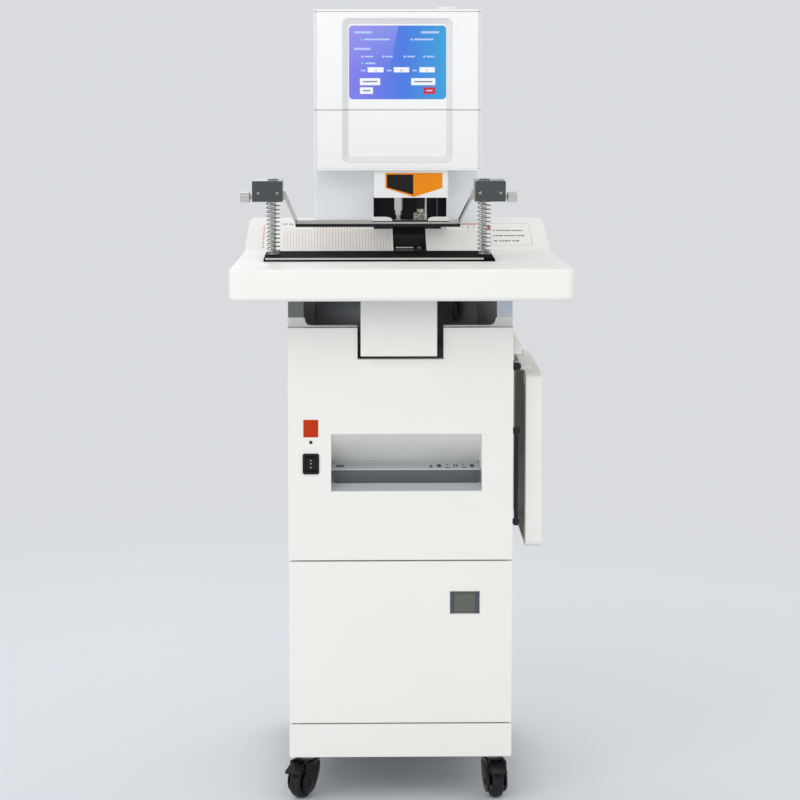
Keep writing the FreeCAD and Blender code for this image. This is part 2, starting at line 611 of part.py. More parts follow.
def guide_post():
    x = PRESS_MID + POST_HALF
    post = rod((x, POST_Y, PLATE_TOP), (x, POST_Y, POST_TOP), POST_R)
    post = bevelled(post, 1.2, lambda edge: edge.BoundBox.ZMin > POST_TOP - 1)
    collar = Part.makeCone(10.0, 8.5, 5.0, Vector(x, POST_Y, PLATE_TOP))
    return post.fuse(collar)


def guide_posts():
    post = guide_post()
    return group([post, mirrored(post, PRESS_MID)])


def coil_spring(x):
    """A square-wire compression spring, built ring by ring so that its flats stay plain triangles."""
    low, high = PLATE_TOP + 5.5 + COIL_WIRE / 2, BLOCK_Z[0] - 0.5 - COIL_WIRE / 2
    steps = COIL_TURNS * COIL_STEPS
    rings = []
    for step in range(steps + 1):
        angle = 2 * math.pi * step / COIL_STEPS
        z = low + (high - low) * step / steps
        out = Vector(math.cos(angle), math.sin(angle), 0)
        centre = Vector(x, POST_Y, z) + out * COIL_R
        half = COIL_WIRE / 2
        up = Vector(0, 0, half)
        outer, inner = centre + out * half, centre - out * half
        rings.append([outer - up, outer + up, inner + up, inner - up])
    faces = [Part.Face(Part.makePolygon([*ring, ring[0]])) for ring in (rings[0], rings[-1])]
    for near, far in zip(rings, rings[1:]):
        for side in range(4):
            after = (side + 1) % 4
            faces.append(Part.Face(Part.makePolygon([near[side], near[after], far[after], near[side]])))
            faces.append(Part.Face(Part.makePolygon([near[side], far[after], far[side], near[side]])))
    shell = Part.Shell(faces)
    solid = Part.Solid(shell)
    if solid.Volume < 0:
        solid.reverse()
    return solid


def return_springs():
    return group([coil_spring(PRESS_MID - POST_HALF), coil_spring(PRESS_MID + POST_HALF)])


def presser_block():
    x = PRESS_MID + POST_HALF
    block = box(x - 16.0, x + 32.5, BLOCK_Y[0], BLOCK_Y[1], BLOCK_Z[0], BLOCK_Z[1])
    block = bevelled(block, 1.5, lambda edge: edge.BoundBox.ZMin > BLOCK_Z[0] + 1)
    bore = rod((x, POST_Y, BLOCK_Z[0] - 1), (x, POST_Y, BLOCK_Z[1] + 1), POST_R + PIN_PLAY)
    knob = rod((x + 26.0, POST_Y, KNOB_Z), (x + 33.0, POST_Y, KNOB_Z), 4.0)
    return block.cut([bore, knob])


def presser_blocks():
    block = presser_block()
    return group([block, mirrored(block, PRESS_MID)])


def presser_knobs():
    x = PRESS_MID + POST_HALF + 32.5
    stem = rod((x - 6.5, POST_Y, KNOB_Z), (x + 4.0, POST_Y, KNOB_Z), 4.0)
    knob = bevelled(rod((x + 4.0, POST_Y, KNOB_Z), (x + 20.0, POST_Y, KNOB_Z), 8.5), 1.0, lambda edge: True)
    knob = stem.fuse(knob)
    return group([knob, mirrored(knob, PRESS_MID)])


def press_bar():
    """The bar behind the posts, hung from the blocks by two falling arms."""
    z0 = BAR_Z[0] + PAD_THICK
    bar = box(PRESS_MID - BAR_HALF, PRESS_MID + BAR_HALF, BAR_Y[0], BAR_Y[1], z0, BAR_Z[1])
    x = PRESS_MID + POST_HALF - 16.0
    tab = box(x - 4.0, x, BLOCK_Y[0] + 18.0, BLOCK_Y[1] - 2.0, ARM_Z - 7.0, ARM_Z + 7.0)
    foot = (PRESS_MID + BAR_HALF - 2.0, BAR_Y[0] + 6.0, z0 + 3.5)
    arm = beam((x - 2.0, BLOCK_Y[1] - 12.0, ARM_Z), foot, 4.0, 7.0)
    side = tab.fuse(arm)
    return bar.fuse([side, mirrored(side, PRESS_MID)]).removeSplitter()


def press_pad():
    pad = box(PRESS_MID - BAR_HALF, PRESS_MID + BAR_HALF, BAR_Y[0], BAR_Y[1], BAR_Z[0], BAR_Z[0] + PAD_THICK)
    return bevelled(pad, 1.2, lambda edge: edge.BoundBox.ZMax < BAR_Z[0] + 1)


# ---- Column and head ----------------------------------------------------------------------------------------
def column_shell():
    """A folded three-sided shell, with a dark opening behind the tools."""
    half = COLUMN_WIDTH / 2
    shell = box(-half, half, COLUMN_FRONT, CABINET_BACK - 2.0, SHELF_Z + 2, HEAD_BOTTOM)
    shell = rounded(shell, 4.0, lambda edge: along(edge, (0, 0, 1)) and edge.BoundBox.YMax < COLUMN_FRONT + 1)
    shell = shell.cut(box(-half + 2, half - 2, COLUMN_FRONT + 2, CABINET_BACK, SHELF_Z, HEAD_BOTTOM + 1))
    tools = box(HOUSING[0], HOUSING[1], COLUMN_FRONT - 1, COLUMN_FRONT + 3, LEDGE_TOP + 31, HOUSING[2])
    arm = box(-75.0, 75.0, COLUMN_FRONT - 1, COLUMN_FRONT + 3, 812.0, LEDGE_TOP + 31)
    x, z = CABLE_START
    cable = rod((x, COLUMN_FRONT - 1, z), (x, COLUMN_FRONT + 3, z), CABLE_R + 0.1)
    return shell.cut([tools, arm, cable]).removeSplitter()


def column_rear_cover():
    half = COLUMN_WIDTH / 2 - 1.0
    front = CABINET_BACK - 2.0
    cover = box(-half, half, front, BACK, TABLE_BOTTOM + 1, HEAD_BOTTOM - 1)
    cover = bevelled(cover, 3.0, lambda edge: edge.BoundBox.YMin > BACK - 1)
    slots = [box(-60, 60, front - 1, BACK + 1, z, z + 5) for z in range(826, 880, 12)]
    hollow = box(-half + 2, half - 2, front - 1, BACK - 2.5, TABLE_BOTTOM + 3, HEAD_BOTTOM - 3)
    return cover.cut([hollow] + slots)


def column_spine():
    """Two C-shaped cheeks joined by cross plates: the lower arm carries the anvil, the upper arm the tools."""
    outline = [
        (280.0, SHELF_Z + 2),
        (280.0, 1240.0),
        (118.0, 1240.0),
        (118.0, 1030.0),
        (205.0, 1030.0),
        (205.0, 832.0),
        (WELL[2] + 8.0, 832.0),
        (WELL[2] + 8.0, 819.0),
        (205.0, 819.0),
        (205.0, SHELF_Z + 2),
    ]
    cheeks = [prism_x(outline, x, x + 8.0) for x in (-14.0, 48.0)]
    rail = box(-14.0, 56.0, 112.0, 118.0, *RAIL_Z)
    for x in (DRILL_X, RIVET_X):
        half = KEY_HALF + 0.1
        rail = rail.cut(box(x - half, x + half, 111.0, 119.0, RAIL_Z[0] - 1, RAIL_Z[1] - 40.0))
    spacers = [box(-6.0, 48.0, 260.0, 272.0, z, z + 120.0) for z in (420.0, 700.0, 1080.0)]
    seat = box(-14.0, 56.0, WELL[2] + 8.0, 205.0, 829.0, 832.0)
    chute = box(-6.0, 48.0, TOOL_Y - 12.0, TOOL_Y + 12.0, 828.0, 833.0)
    foot = box(-40.0, 82.0, 200.0, 280.0, SHELF_Z + 2, SHELF_Z + 8)
    return cheeks[0].fuse([cheeks[1], rail, seat, foot] + spacers).cut(chute).removeSplitter()


def head_solid(z0, z1, inset):
    half = HEAD_WIDTH / 2 - inset
    radius = 8.0 - inset
    return round_box(-half, half, HEAD_FRONT + inset, CABINET_BACK - inset, z0, z1, radius, (0, 0, 1))


def screen_recess():
    """The shallow dished field that both head covers share."""
    x0, x1, z0, z1 = RECESS
    front, edge, deep = HEAD_FRONT, RECESS_EDGE, RECESS_DEEP
    wires = []
    for y, inset, radius in ((front, 0.0, 9.0), (front + deep, edge, 6.0)):
        slab = round_box(x0 + inset, x1 - inset, y, y + 1, z0 + inset, z1 - inset, radius, (0, 1, 0))
        wires.append(min(slab.Faces, key=lambda side: side.CenterOfMass.y).OuterWire)
    return Part.makeLoft(wires, True, True)


def recess_liner(deep, z0, z1):
    """A slab behind the dished field, between two heights."""
    x0, x1, low, high = RECESS
    z0, z1 = max(z0, low - 2.5), min(z1, high + 2.5)
    return box(x0 - 2.5, x1 + 2.5, HEAD_FRONT + 2, HEAD_FRONT + deep, z0, z1)


def head_lower_cover():
    """Open above; its inner lap carries the upper cover and leaves a groove where the two meet."""
    low, high = HEAD_SEAM
    cover = head_solid(HEAD_BOTTOM, low, 0.0).cut(head_solid(HEAD_BOTTOM + 3, high, 2.5))
    liner = recess_liner(6.5, HEAD_BOTTOM + 3, high)
    lap = head_solid(low - 4.0, high, 1.5).cut(head_solid(low - 5.0, high + 1, 4.5))
    groove = recess_liner(5.5, low, high).fuse(recess_liner(5.5, low, high).translated(Vector(0, -2, 0)))
    cover = cover.fuse([liner, lap]).cut([screen_recess(), groove])
    half = COLUMN_WIDTH / 2 - 6.0
    below, above = HEAD_BOTTOM - 1, HEAD_BOTTOM + 4
    tools = box(HOUSING[0] + 4, HOUSING[1] - 4, HEAD_FRONT + 12.0, COLUMN_FRONT, below, above)
    column = box(-half, half, COLUMN_FRONT + 6, CABINET_BACK - 6, below, above)
    return cover.cut([tools, column]).removeSplitter()


def head_upper_cover():
    low = HEAD_SEAM[1]
    cover = head_solid(low, HEAD_TOP - 4.5, 0.0).cut(head_solid(low - 1, HEAD_TOP, 2.5))
    cover = cover.fuse(recess_liner(6.5, low, HEAD_TOP - 5)).cut(screen_recess())
    x0, x1, z0, z1 = GLASS
    x0, x1, z0, z1 = x0 - CLEAR, x1 + CLEAR, z0 - CLEAR, z1 + CLEAR
    window = round_box(x0, x1, HEAD_FRONT, HEAD_FRONT + 9, z0, z1, 6.0 + CLEAR, (0, 1, 0))
    return cover.cut(window).removeSplitter()


def head_top_plate():
    plate = head_solid(HEAD_TOP - 4.0, HEAD_TOP, 0.0)
    plate = bevelled(plate, 1.5, lambda edge: edge.BoundBox.ZMin > HEAD_TOP - 1)
    step = head_solid(HEAD_TOP - 4.5, HEAD_TOP - 4.0, 1.2)
    return plate.fuse(step).cut(rod((*TUBE, HEAD_TOP - 9), (*TUBE, HEAD_TOP + 1), 10.0))


def tube_inlet():
    """A low hexagonal gland nut that guides the plastic tube in through the roof."""
    x, y = TUBE
    hexagon = []
    for flat in range(6):
        angle = math.pi * flat / 3
        hexagon.append((x + 15.0 * math.cos(angle), y + 15.0 * math.sin(angle)))
    nut = prism_z(hexagon, HEAD_TOP, HEAD_TOP + 4.0).fuse(rod((x, y, HEAD_TOP - 14.0), (x, y, HEAD_TOP), 9.7))
    return nut.cut(rod((x, y, HEAD_TOP - 15.0), (x, y, HEAD_TOP + 5), 7.0))


def touch_screen():
    """The glass in its window, and the panel behind it that seats on the back of the recess."""
    x0, x1, z0, z1 = GLASS
    glass = box(x0, x1, HEAD_FRONT + 3.7, HEAD_FRONT + 6.5, z0, z1)
    glass = rounded(glass, 6.0, lambda edge: along(edge, (0, 1, 0)))
    rim = 4.8
    return glass.fuse(box(x0 - rim, x1 + rim, HEAD_FRONT + 6.5, HEAD_FRONT + 12.0, z0 - rim, z1 + rim))


def drill_housing():
    x0, x1, z0 = HOUSING
    y0 = HEAD_FRONT + 10.0
    housing = box(x0, x1, y0, COLUMN_FRONT, z0, HEAD_BOTTOM)
    housing = rounded(housing, 3.0, lambda edge: along(edge, (0, 0, 1)) and edge.BoundBox.YMax < y0 + 1)
    hollow = box(x0 + 2, x1 - 2, y0 + 2, COLUMN_FRONT - 2, z0 + 2, HEAD_BOTTOM + 1)
    tools = box(DRILL_X - 11, RIVET_X + 18, TOOL_Y - 12, TOOL_Y + 12, z0 - 1, z0 + 3)
    return housing.cut([hollow, tools])


def slide_key(x):
    """The T-shaped key that holds a tool carriage in its slot in the rail."""
    stem = box(x - KEY_HALF, x + KEY_HALF, 111.0, 120.0, *KEY_Z)
    return stem.fuse(box(x - 7.0, x + 7.0, 118.2, 121.0, *KEY_Z))


def drill_carriage():
    """The carriage with its spindle bore, and the motor standing on it."""
    x0, x1 = DRILL_X - 14.0, DRILL_X + 17.0
    block = box(x0, x1, TOOL_Y - 15.0, 111.5, 1010.0, 1060.0)
    block = bevelled(block, 1.5, lambda edge: along(edge, (0, 0, 1)))
    block = block.cut(rod((DRILL_X, TOOL_Y, 1009.0), (DRILL_X, TOOL_Y, 1061.0), 6.0 + PIN_PLAY))
    motor = rod((DRILL_X, TOOL_Y, 1064.0), (DRILL_X, TOOL_Y, 1150.0), 14.0)
    bracket = box(x0 + 3, x1 - 3, 100.0, 111.5, 1060.0, 1110.0)
    return block.fuse([bracket, motor, slide_key(DRILL_X)]).removeSplitter()


def hollow_drill():
    """Spindle, chuck and the hollow bit that cuts the hole, in one line."""
    def ring(z0, z1, radius):
        return rod((DRILL_X, TOOL_Y, z0), (DRILL_X, TOOL_Y, z1), radius)

    spindle = ring(958.0, 1061.5, 6.0).fuse([ring(930.0, 958.0, 7.0), ring(922.0, 930.0, 5.2)])
    bit = ring(TOOL_TIP + 2.0, 922.0, 3.2)
    edge = Part.makeCone(2.6, 3.2, 2.0, Vector(DRILL_X, TOOL_Y, TOOL_TIP))
    return spindle.fuse([bit, edge]).cut(ring(TOOL_TIP - 1, 950.0, 2.2))


def rivet_ram():
    """The ram carriage, its rod, the brass upper die and the thin guide beside it."""
    x0 = RIVET_X - 16.0
    block = box(x0, RIVET_X + 16.0, TOOL_Y - 15.0, 111.5, 1010.0, 1060.0)
    block = bevelled(block, 1.5, lambda edge: along(edge, (0, 0, 1)))
    ram = rod((RIVET_X, TOOL_Y, 926.0), (RIVET_X, TOOL_Y, 1010.0), 6.0)
    die = box(RIVET_X - 11.0, RIVET_X + 11.0, TOOL_Y - 8.0, TOOL_Y + 8.0, 912.0, 926.0)
    die = bevelled(die, 1.0, lambda edge: True)
    punch = rod((RIVET_X, TOOL_Y, TOOL_TIP + 1.0), (RIVET_X, TOOL_Y, 912.0), 3.5)
    guide = rod((RIVET_X + 9.0, TOOL_Y, 926.0), (RIVET_X + 9.0, TOOL_Y, 1010.0), 1.8)
    return block.fuse([ram, die, punch, guide, slide_key(RIVET_X)]).removeSplitter()


def cable_loop():
    """A cable that leaves the column, hangs in a short loop and goes up into the table frame."""
    radius = CABLE_R
    x, z = CABLE_START
    top_x, top_y = CABLE_TOP
    start = Vector(x, COLUMN_FRONT + 2.0, z)
    out = Vector(x, COLUMN_FRONT - 35.0, z)
    down = Vector(x, COLUMN_FRONT - 47.0, z - 38.0)
    low = Vector(x - 6.0, top_y + 16.0, z - 45.0)
    up = Vector(top_x, top_y, z - 28.0)
    end = Vector(top_x, top_y, TABLE_BOTTOM + 2.0)
    points = [start, out, down, low, up, end]
    edges, previous = [], start
    for near, corner, far in zip(points, points[1:], points[2:]):
        back, ahead = (near - corner), (far - corner)
        bend = back.getAngle(ahead)
        reach = 0.45 * min(back.Length, ahead.Length)
        first = corner + back.normalize() * reach
        last = corner + ahead.normalize() * reach
        middle_way = (back + ahead).normalize()
        arc_radius = reach * math.tan(bend / 2)
        centre_gap = arc_radius / math.sin(bend / 2)
        middle = corner + middle_way * (centre_gap - arc_radius)
        edges.append(Part.LineSegment(previous, first).toShape())
        edges.append(Part.Arc(first, middle, last).toShape())
        print("cable bend radius", round(arc_radius, 1))
        previous = last
    edges.append(Part.LineSegment(previous, end).toShape())
    path = Part.Wire(edges)
    corners = []
    for side in range(8):
        angle = math.pi * (side + 0.5) / 4
        corners.append(start + Vector(math.cos(angle), 0, math.sin(angle)) * radius)
    section = Part.makePolygon(corners + corners[:1])
    tube = path.makePipeShell([section], True, False)
    section_area = 2 * math.sqrt(2) * radius ** 2
    filled = tube.Volume / (section_area * path.Length)
    print("cable length", round(path.Length, 1), "volume ratio", round(filled, 3))
    return tube


def power_inlet():
    flange = round_box(-136.0, -90.0, CABINET_BACK, CABINET_BACK + 2.5, 117.0, 145.0, 3.0, (0, 1, 0))
    body = box(-127.0, -99.0, CABINET_BACK - 24.0, CABINET_BACK, 120.5, 141.5)
    socket = box(-125.0, -101.0, CABINET_BACK - 14, CABINET_BACK + 4, 123.0, 139.5)
    socket = bevelled(socket, 3.0, lambda edge: along(edge, (0, 1, 0)))
    places = ((-119, 127), (-107, 127), (-113, 133))
    pins = [box(x - 1, x + 1, CABINET_BACK - 14, CABINET_BACK - 2, z, z + 4) for x, z in places]
    return flange.fuse(body).cut(socket).fuse(pins)


# ---- Side shelf ---------------------------------------------------------------------------------------------
def shelf_hinge_rail():
    """Plates on the right wall: hinge ears with their pins above, and the strut pivots below."""
    solids = []
    x, z = LEAF_PIN
    for y in HINGE_Y:
        plate = box(WALL, WALL + 2.5, y - 16, y + 16, z - 30, z + 10)
        for side in (-1, 1):
            ear_y = sorted((y + side * 7.0, y + side * 13.0))
            ear = box(WALL + 2.5, x + 6.0, *ear_y, z - 6.0, z + 6.0)
            ear = bevelled(ear, 3.0, lambda edge: along(edge, (0, 1, 0)) and edge.BoundBox.XMin > x)
            plate = plate.fuse(ear)
        solids.append(plate.fuse(rod((x, y - 15.0, z), (x, y + 15.0, z), 3.0)).removeSplitter())
    x, z = STRUT_PIN
    for y in STRUT_Y:
        plate = box(WALL, WALL + 2.5, y - 10, y + 10, z - 14, z + 14)
        solids.append(plate.fuse(strut_ear(x, y, z)).removeSplitter())
    return group(solids)


def strut_ear(x, y, z):
    ear = box(WALL + 2.5, x + 4.5, y - 10.0, y - 5.0, z - 4.5, z + 4.5)
    return ear.fuse(rod((x, y - 10.0, z), (x, y + 5.0, z), 2.5))


def shelf_struts():
    solids = []
    x, z = STRUT_PIN
    for y in STRUT_Y:
        arm = box(x - 3.0, x + 3.0, y - 4.5, y + 4.0, z - STRUT_LENGTH, z)
        arm = arm.fuse(rod((x, y - 4.5, z), (x, y + 4.0, z), 5.0))
        arm = arm.fuse(rod((x, y - 4.5, z - STRUT_LENGTH), (x, y + 4.0, z - STRUT_LENGTH), 6.0))
        solids.append(arm.cut(rod((x, y - 6, z), (x, y + 6, z), 2.5 + PIN_PLAY)).removeSplitter())
    return group(solids)


def side_shelf():
    """A drop leaf: a shallow pan with rounded corners, open to the cabinet, with two ribs and hinge lugs."""
    x0, x1 = LEAF_X
    leaf = round_box(x0, x1, LEAF_Y[0], LEAF_Y[1], LEAF_Z[0], LEAF_Z[1], 12.0, (1, 0, 0))
    leaf = bevelled(leaf, 2.5, lambda edge: edge.BoundBox.XMin > x1 - 0.1)
    (y0, y1), (z0, z1) = LEAF_Y, LEAF_Z
    hollow = round_box(x0 - 1, x1 - 4, y0 + 4, y1 - 4, z0 + 4, z1 - 4, 9.0, (1, 0, 0))
    leaf = leaf.cut(hollow)
    ribs = [box(x0, x1 - 3, y - 5, y + 5, LEAF_Z[0] + 3, LEAF_Z[1] - 3) for y in STRUT_Y]
    x, z = LEAF_PIN
    lugs = []
    for y in HINGE_Y:
        lug = rod((x, y - 6.5, z), (x, y + 6.5, z), 6.5)
        lug = lug.fuse(box(x, x0 + 12.0, y - 6.5, y + 6.5, z - 6.5, z + 2.0))
        lug = lug.fuse(box(x0, x0 + 12.0, y - 6.5, y + 6.5, z - 30.0, z - 6.0))
        lugs.append(lug)
    leaf = leaf.fuse(ribs + lugs)
    bores = [rod((x, y - 9, z), (x, y + 9, z), 3.0 + PIN_PLAY) for y in HINGE_Y]
    return leaf.cut(bores).removeSplitter()


# ---- Casters ------------------------------------------------------------------------------------------------
def placed(shape, name):
    """Turns a caster piece, drawn with its wheel trailing along +X, and sets it under its corner."""
    x, y, heading = CASTERS[name]
    shape = shape.copy()
    shape.rotate(Vector(0, 0, 0), Vector(0, 0, 1), heading)
    shape.translate(Vector(x, y, 0))
    return shape


def caster_mounts():
    solids = []
    for x, y, _ in CASTERS.values():
        plate = box(x - 24, x + 24, y - 22, y + 22, 66.5, CASTER_HEIGHT)
        plate = bevelled(plate, 5.0, lambda edge: along(edge, (0, 0, 1)))
        kingpin = rod((x, y, 55.0), (x, y, 66.5), KINGPIN_R)
        solids.append(plate.fuse([kingpin, rod((x, y, 61.5), (x, y, 66.5), 14.0)]))
    return group(solids)


def caster_fork(name):
    """Crown, two cheeks sweeping down to the axle, and the axle itself."""
    crown = bevelled(box(-15, 15, -15, 15, 55.0, 61.2), 6.0, lambda edge: along(edge, (0, 0, 1)))
    crown = crown.cut(rod((0, 0, 54), (0, 0, 62), KINGPIN_R + PIN_PLAY))
    gap = WHEEL_WIDTH / 2 + 1.0
    outline = [(-13.0, 61.2), (-13.0, 50.0), (10.0, 20.0), (20.0, 17.0)]
    outline += [(27.0, 24.0), (28.0, 50.0), (27.0, 61.2)]
    cheek = prism_y(outline, gap, gap + 3.0).cut(rod((0, 0, 50), (0, 0, 70), KINGPIN_R + PIN_PLAY))
    bridge = box(13.0, 20.0, -gap, gap, 55.0, 61.2)
    axle = rod((TRAIL, -gap - 3.6, WHEEL_R), (TRAIL, gap + 3.6, WHEEL_R), AXLE_R)
    fork = crown.fuse([cheek, cheek.mirror(Vector(0, 0, 0), Vector(0, 1, 0)), bridge, axle])
    if name in BRAKED:
        x, z = PEDAL_PIN
        fork = fork.fuse(rod((x, -gap - 3.0, z), (x, gap + 3.0, z), 2.0))
    return placed(fork.removeSplitter(), name)


def caster_wheel(name):
    half = WHEEL_WIDTH / 2
    wheel = rod((TRAIL, -half, WHEEL_R), (TRAIL, half, WHEEL_R), WHEEL_R)
    return placed(wheel.cut(rod((TRAIL, -20, WHEEL_R), (TRAIL, 20, WHEEL_R), AXLE_R + PIN_PLAY)), name)


def brake_pedal(name):
    """A foot pedal that turns on a cross pin over the back of the wheel and bears on its tread."""
    x, z = PEDAL_PIN
    inner = prism_y([(x, 58.5), (30.0, 57.0), (30.0, 50.2), (x, 51.5)], -9.0, 9.0)
    tread = prism_y([(29.0, 57.5), (49.0, 47.0), (47.5, 43.5), (34.0, 49.5), (29.0, 50.5)], -13.0, 13.0)
    pedal = inner.fuse([tread, rod((x, -9.0, z), (x, 9.0, z), 3.5)])
    return placed(pedal.cut(rod((x, -10.0, z), (x, 10.0, z), 2.0 + PIN_PLAY)).removeSplitter(), name)


# ---- Write one file for each piece --------------------------------------------------------------------------
PIECES = {
    "base_plate": base_plate,
    "cabinet_right_wall": side_wall,
    "cabinet_left_wall": lambda: mirrored(side_wall(), 0.0),
    "cabinet_rear_panel": cabinet_rear_panel,
    "upper_front_panel": upper_front_panel,
    "plinth_panel": plinth_panel,
    "lower_door": lower_door,
    "door_hardware": door_hardware,
    "pull_cup": pull_cup,
    "pull_flap": pull_flap,
    "feed_recess": feed_recess,
    "shredder_frame": shredder_frame,
    "cutter_shaft_front": lambda: cutter_shaft(-1),
    "cutter_shaft_rear": lambda: cutter_shaft(1),
    "shredder_motor": shredder_motor,
    "shredder_shelf": shredder_shelf,
    "waste_bin": waste_bin,
    "switch_body": switch_body,
    "power_rocker": power_rocker,
    "indicator_lamp": indicator_lamp,
    "table_top": table_top,
    "table_frame": table_frame,
    "chip_tray": chip_tray,
    "anvil_block": anvil_block,
    "lower_dies": lower_dies,
    "press_base_plate": press_base_plate,
    "guide_posts": guide_posts,
    "return_springs": return_springs,
    "presser_blocks": presser_blocks,
    "presser_knobs": presser_knobs,
    "press_bar": press_bar,
    "press_pad": press_pad,
    "column_shell": column_shell,
    "column_rear_cover": column_rear_cover,
    "column_spine": column_spine,
    "head_lower_cover": head_lower_cover,
    "head_upper_cover": head_upper_cover,
    "head_top_plate": head_top_plate,
    "tube_inlet": tube_inlet,
    "touch_screen": touch_screen,
    "drill_housing": drill_housing,
    "drill_carriage": drill_carriage,
    "hollow_drill": hollow_drill,
    "rivet_ram": rivet_ram,
    "cable_loop": cable_loop,
    "power_inlet": power_inlet,
    "shelf_hinge_rail": shelf_hinge_rail,
    "shelf_struts": shelf_struts,
    "side_shelf": side_shelf,
    "caster_mounts": caster_mounts,
}
for corner in CASTERS:
    PIECES["caster_fork_" + corner] = lambda corner=corner: caster_fork(corner)
    PIECES["caster_wheel_" + corner] = lambda corner=corner: caster_wheel(corner)
for corner in BRAKED:
    PIECES["brake_pedal_" + corner] = lambda corner=corner: brake_pedal(corner)

for name, make in PIECES.items():
    make().exportStep("parts/" + name + ".step")
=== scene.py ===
"""The looks of a document riveting machine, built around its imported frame. Every length is in metres."""

import math

import bmesh
import bpy
from bpy.props import FloatProperty, FloatVectorProperty, IntProperty, PointerProperty
from mathutils import Matrix, Vector


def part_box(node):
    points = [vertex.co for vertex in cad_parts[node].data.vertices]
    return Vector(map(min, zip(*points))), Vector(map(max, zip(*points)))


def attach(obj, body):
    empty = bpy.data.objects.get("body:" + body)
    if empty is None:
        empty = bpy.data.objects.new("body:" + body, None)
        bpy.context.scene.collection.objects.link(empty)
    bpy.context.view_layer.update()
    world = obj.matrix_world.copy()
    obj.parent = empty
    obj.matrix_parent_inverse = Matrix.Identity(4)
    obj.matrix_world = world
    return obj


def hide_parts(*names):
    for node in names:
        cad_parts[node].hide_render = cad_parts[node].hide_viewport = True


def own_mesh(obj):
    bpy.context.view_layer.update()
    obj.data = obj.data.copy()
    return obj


bl_info = {
    "name": "Document riveting machine",
    "version": (1, 0, 0),
    "blender": (4, 5, 0),
    "location": "View3D > Sidebar > Riveter",
    "description": "Builds the finishes and small pieces of a document riveting machine around its frame",
    "category": "Object",
}

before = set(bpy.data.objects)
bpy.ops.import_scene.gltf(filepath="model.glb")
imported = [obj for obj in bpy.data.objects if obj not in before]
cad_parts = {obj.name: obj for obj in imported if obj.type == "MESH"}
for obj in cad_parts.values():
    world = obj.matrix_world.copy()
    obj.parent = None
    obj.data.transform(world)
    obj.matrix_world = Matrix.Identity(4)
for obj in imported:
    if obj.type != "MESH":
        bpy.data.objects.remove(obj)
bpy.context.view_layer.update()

MM = 0.001
MACHINE = "machine"
# How thick a print or a film is drawn.
FILM = 0.12 * MM

# The tone of the door pull, which is also painted across the middle of its frame as painted light.
PULL_GREY = "77786f"

# The directions of a flat piece that faces the front: the first runs to its right and the second up it.
RIGHT, UP = Vector((1, 0, 0)), Vector((0, 0, 1))
FRONT_FACE = (RIGHT, UP)


# ---- Colours and settings ------------------------------------------------------------------------
def linear(code):
    """An sRGB hex colour as linear red, green and blue."""
    values = [int(code[place:place + 2], 16) / 255 for place in (0, 2, 4)]
    return tuple(v / 12.92 if v <= 0.04045 else ((v + 0.055) / 1.055) ** 2.4 for v in values)


def colour_setting(name, code, description):
    return FloatVectorProperty(
        name=name, description=description, subtype="COLOR", size=3, min=0, max=1, default=linear(code)
    )


def length_setting(name, value, description):
    return FloatProperty(name=name, description=description, unit="LENGTH", default=value, min=0, precision=4)


class RiveterColours(bpy.types.PropertyGroup):
    """The machine's main colours."""

    body: colour_setting("Body", "f2f1ea", "Powder coat of the cabinet's sheet steel")
    moulding: colour_setting("Mouldings", "f4f3ec", "Moulded covers, table and side shelf")
    chute: colour_setting("Feed chute", "c3c9cd", "Moulding around the shredder's throat")
    block: colour_setting("Presser blocks", "41474a", "Blocks that run on the two posts")
    plate: colour_setting("Base plate", "0e0e10", "Plate under the posts")
    signal: colour_setting("Signal plate", "ff9612", "Coloured half of the plate on the drill housing")
    head: colour_setting("Head", "fbfbfa", "Moulded covers of the head and the drill housing")
    small_plate: colour_setting("Small plate", "c23503", "Coloured plate above the switch")
    screen_left: colour_setting("Screen, left", "847ceb", "Left side of the lit screen")
    screen_right: colour_setting("Screen, right", "33a2d9", "Right side of the lit screen")


class RiveterSizes(bpy.types.PropertyGroup):
    """Sizes of the pieces that repeat."""

    line_pitch: length_setting("Ruler pitch", 5 * MM, "Distance between two lines of the ruler")
    line_width: length_setting("Ruler line", 0.7 * MM, "Width of one line of the ruler")
    coil_turns: IntProperty(
        name="Spring turns", description="Turns of each return spring", default=12, min=3, max=40
    )
    coil_wire: length_setting("Spring wire", 0.9 * MM, "Radius of the springs' wire")
    coil_radius: length_setting("Spring radius", 10.6 * MM, "Radius of the springs at the middle of the wire")
    screw_radius: length_setting("Screw head", 3.2 * MM, "Radius of the screws' pan heads")
    screw_height: length_setting("Screw height", 1.6 * MM, "Height of the screws' pan heads")


def colours():
    return bpy.context.scene.riveter_colours


def sizes():
    return bpy.context.scene.riveter_sizes


# ---- Nodes and materials -------------------------------------------------------------------------
def add(tree, kind, inputs=None, **settings):
    """Adds one node with its settings, and fills or links its inputs.

    An input is given as a value, a socket, or a node, which stands for the first of its outputs in use.
    """
    node = tree.nodes.new(kind)
    for key, value in settings.items():
        setattr(node, key, value)
    for key, value in (inputs or {}).items():
        if isinstance(value, bpy.types.Node):
            value = next(socket for socket in value.outputs if socket.enabled)
        if isinstance(value, bpy.types.NodeSocket):
            tree.links.new(value, node.inputs[key])
        else:
            node.inputs[key].default_value = value
    return node


def opaque(colour, factor=1.0):
    """A colour, or its sRGB hex code, dimmed by a factor and with full alpha."""
    channels = linear(colour) if isinstance(colour, str) else colour
    return tuple(min(1.0, channel * factor) for channel in channels) + (1.0,)


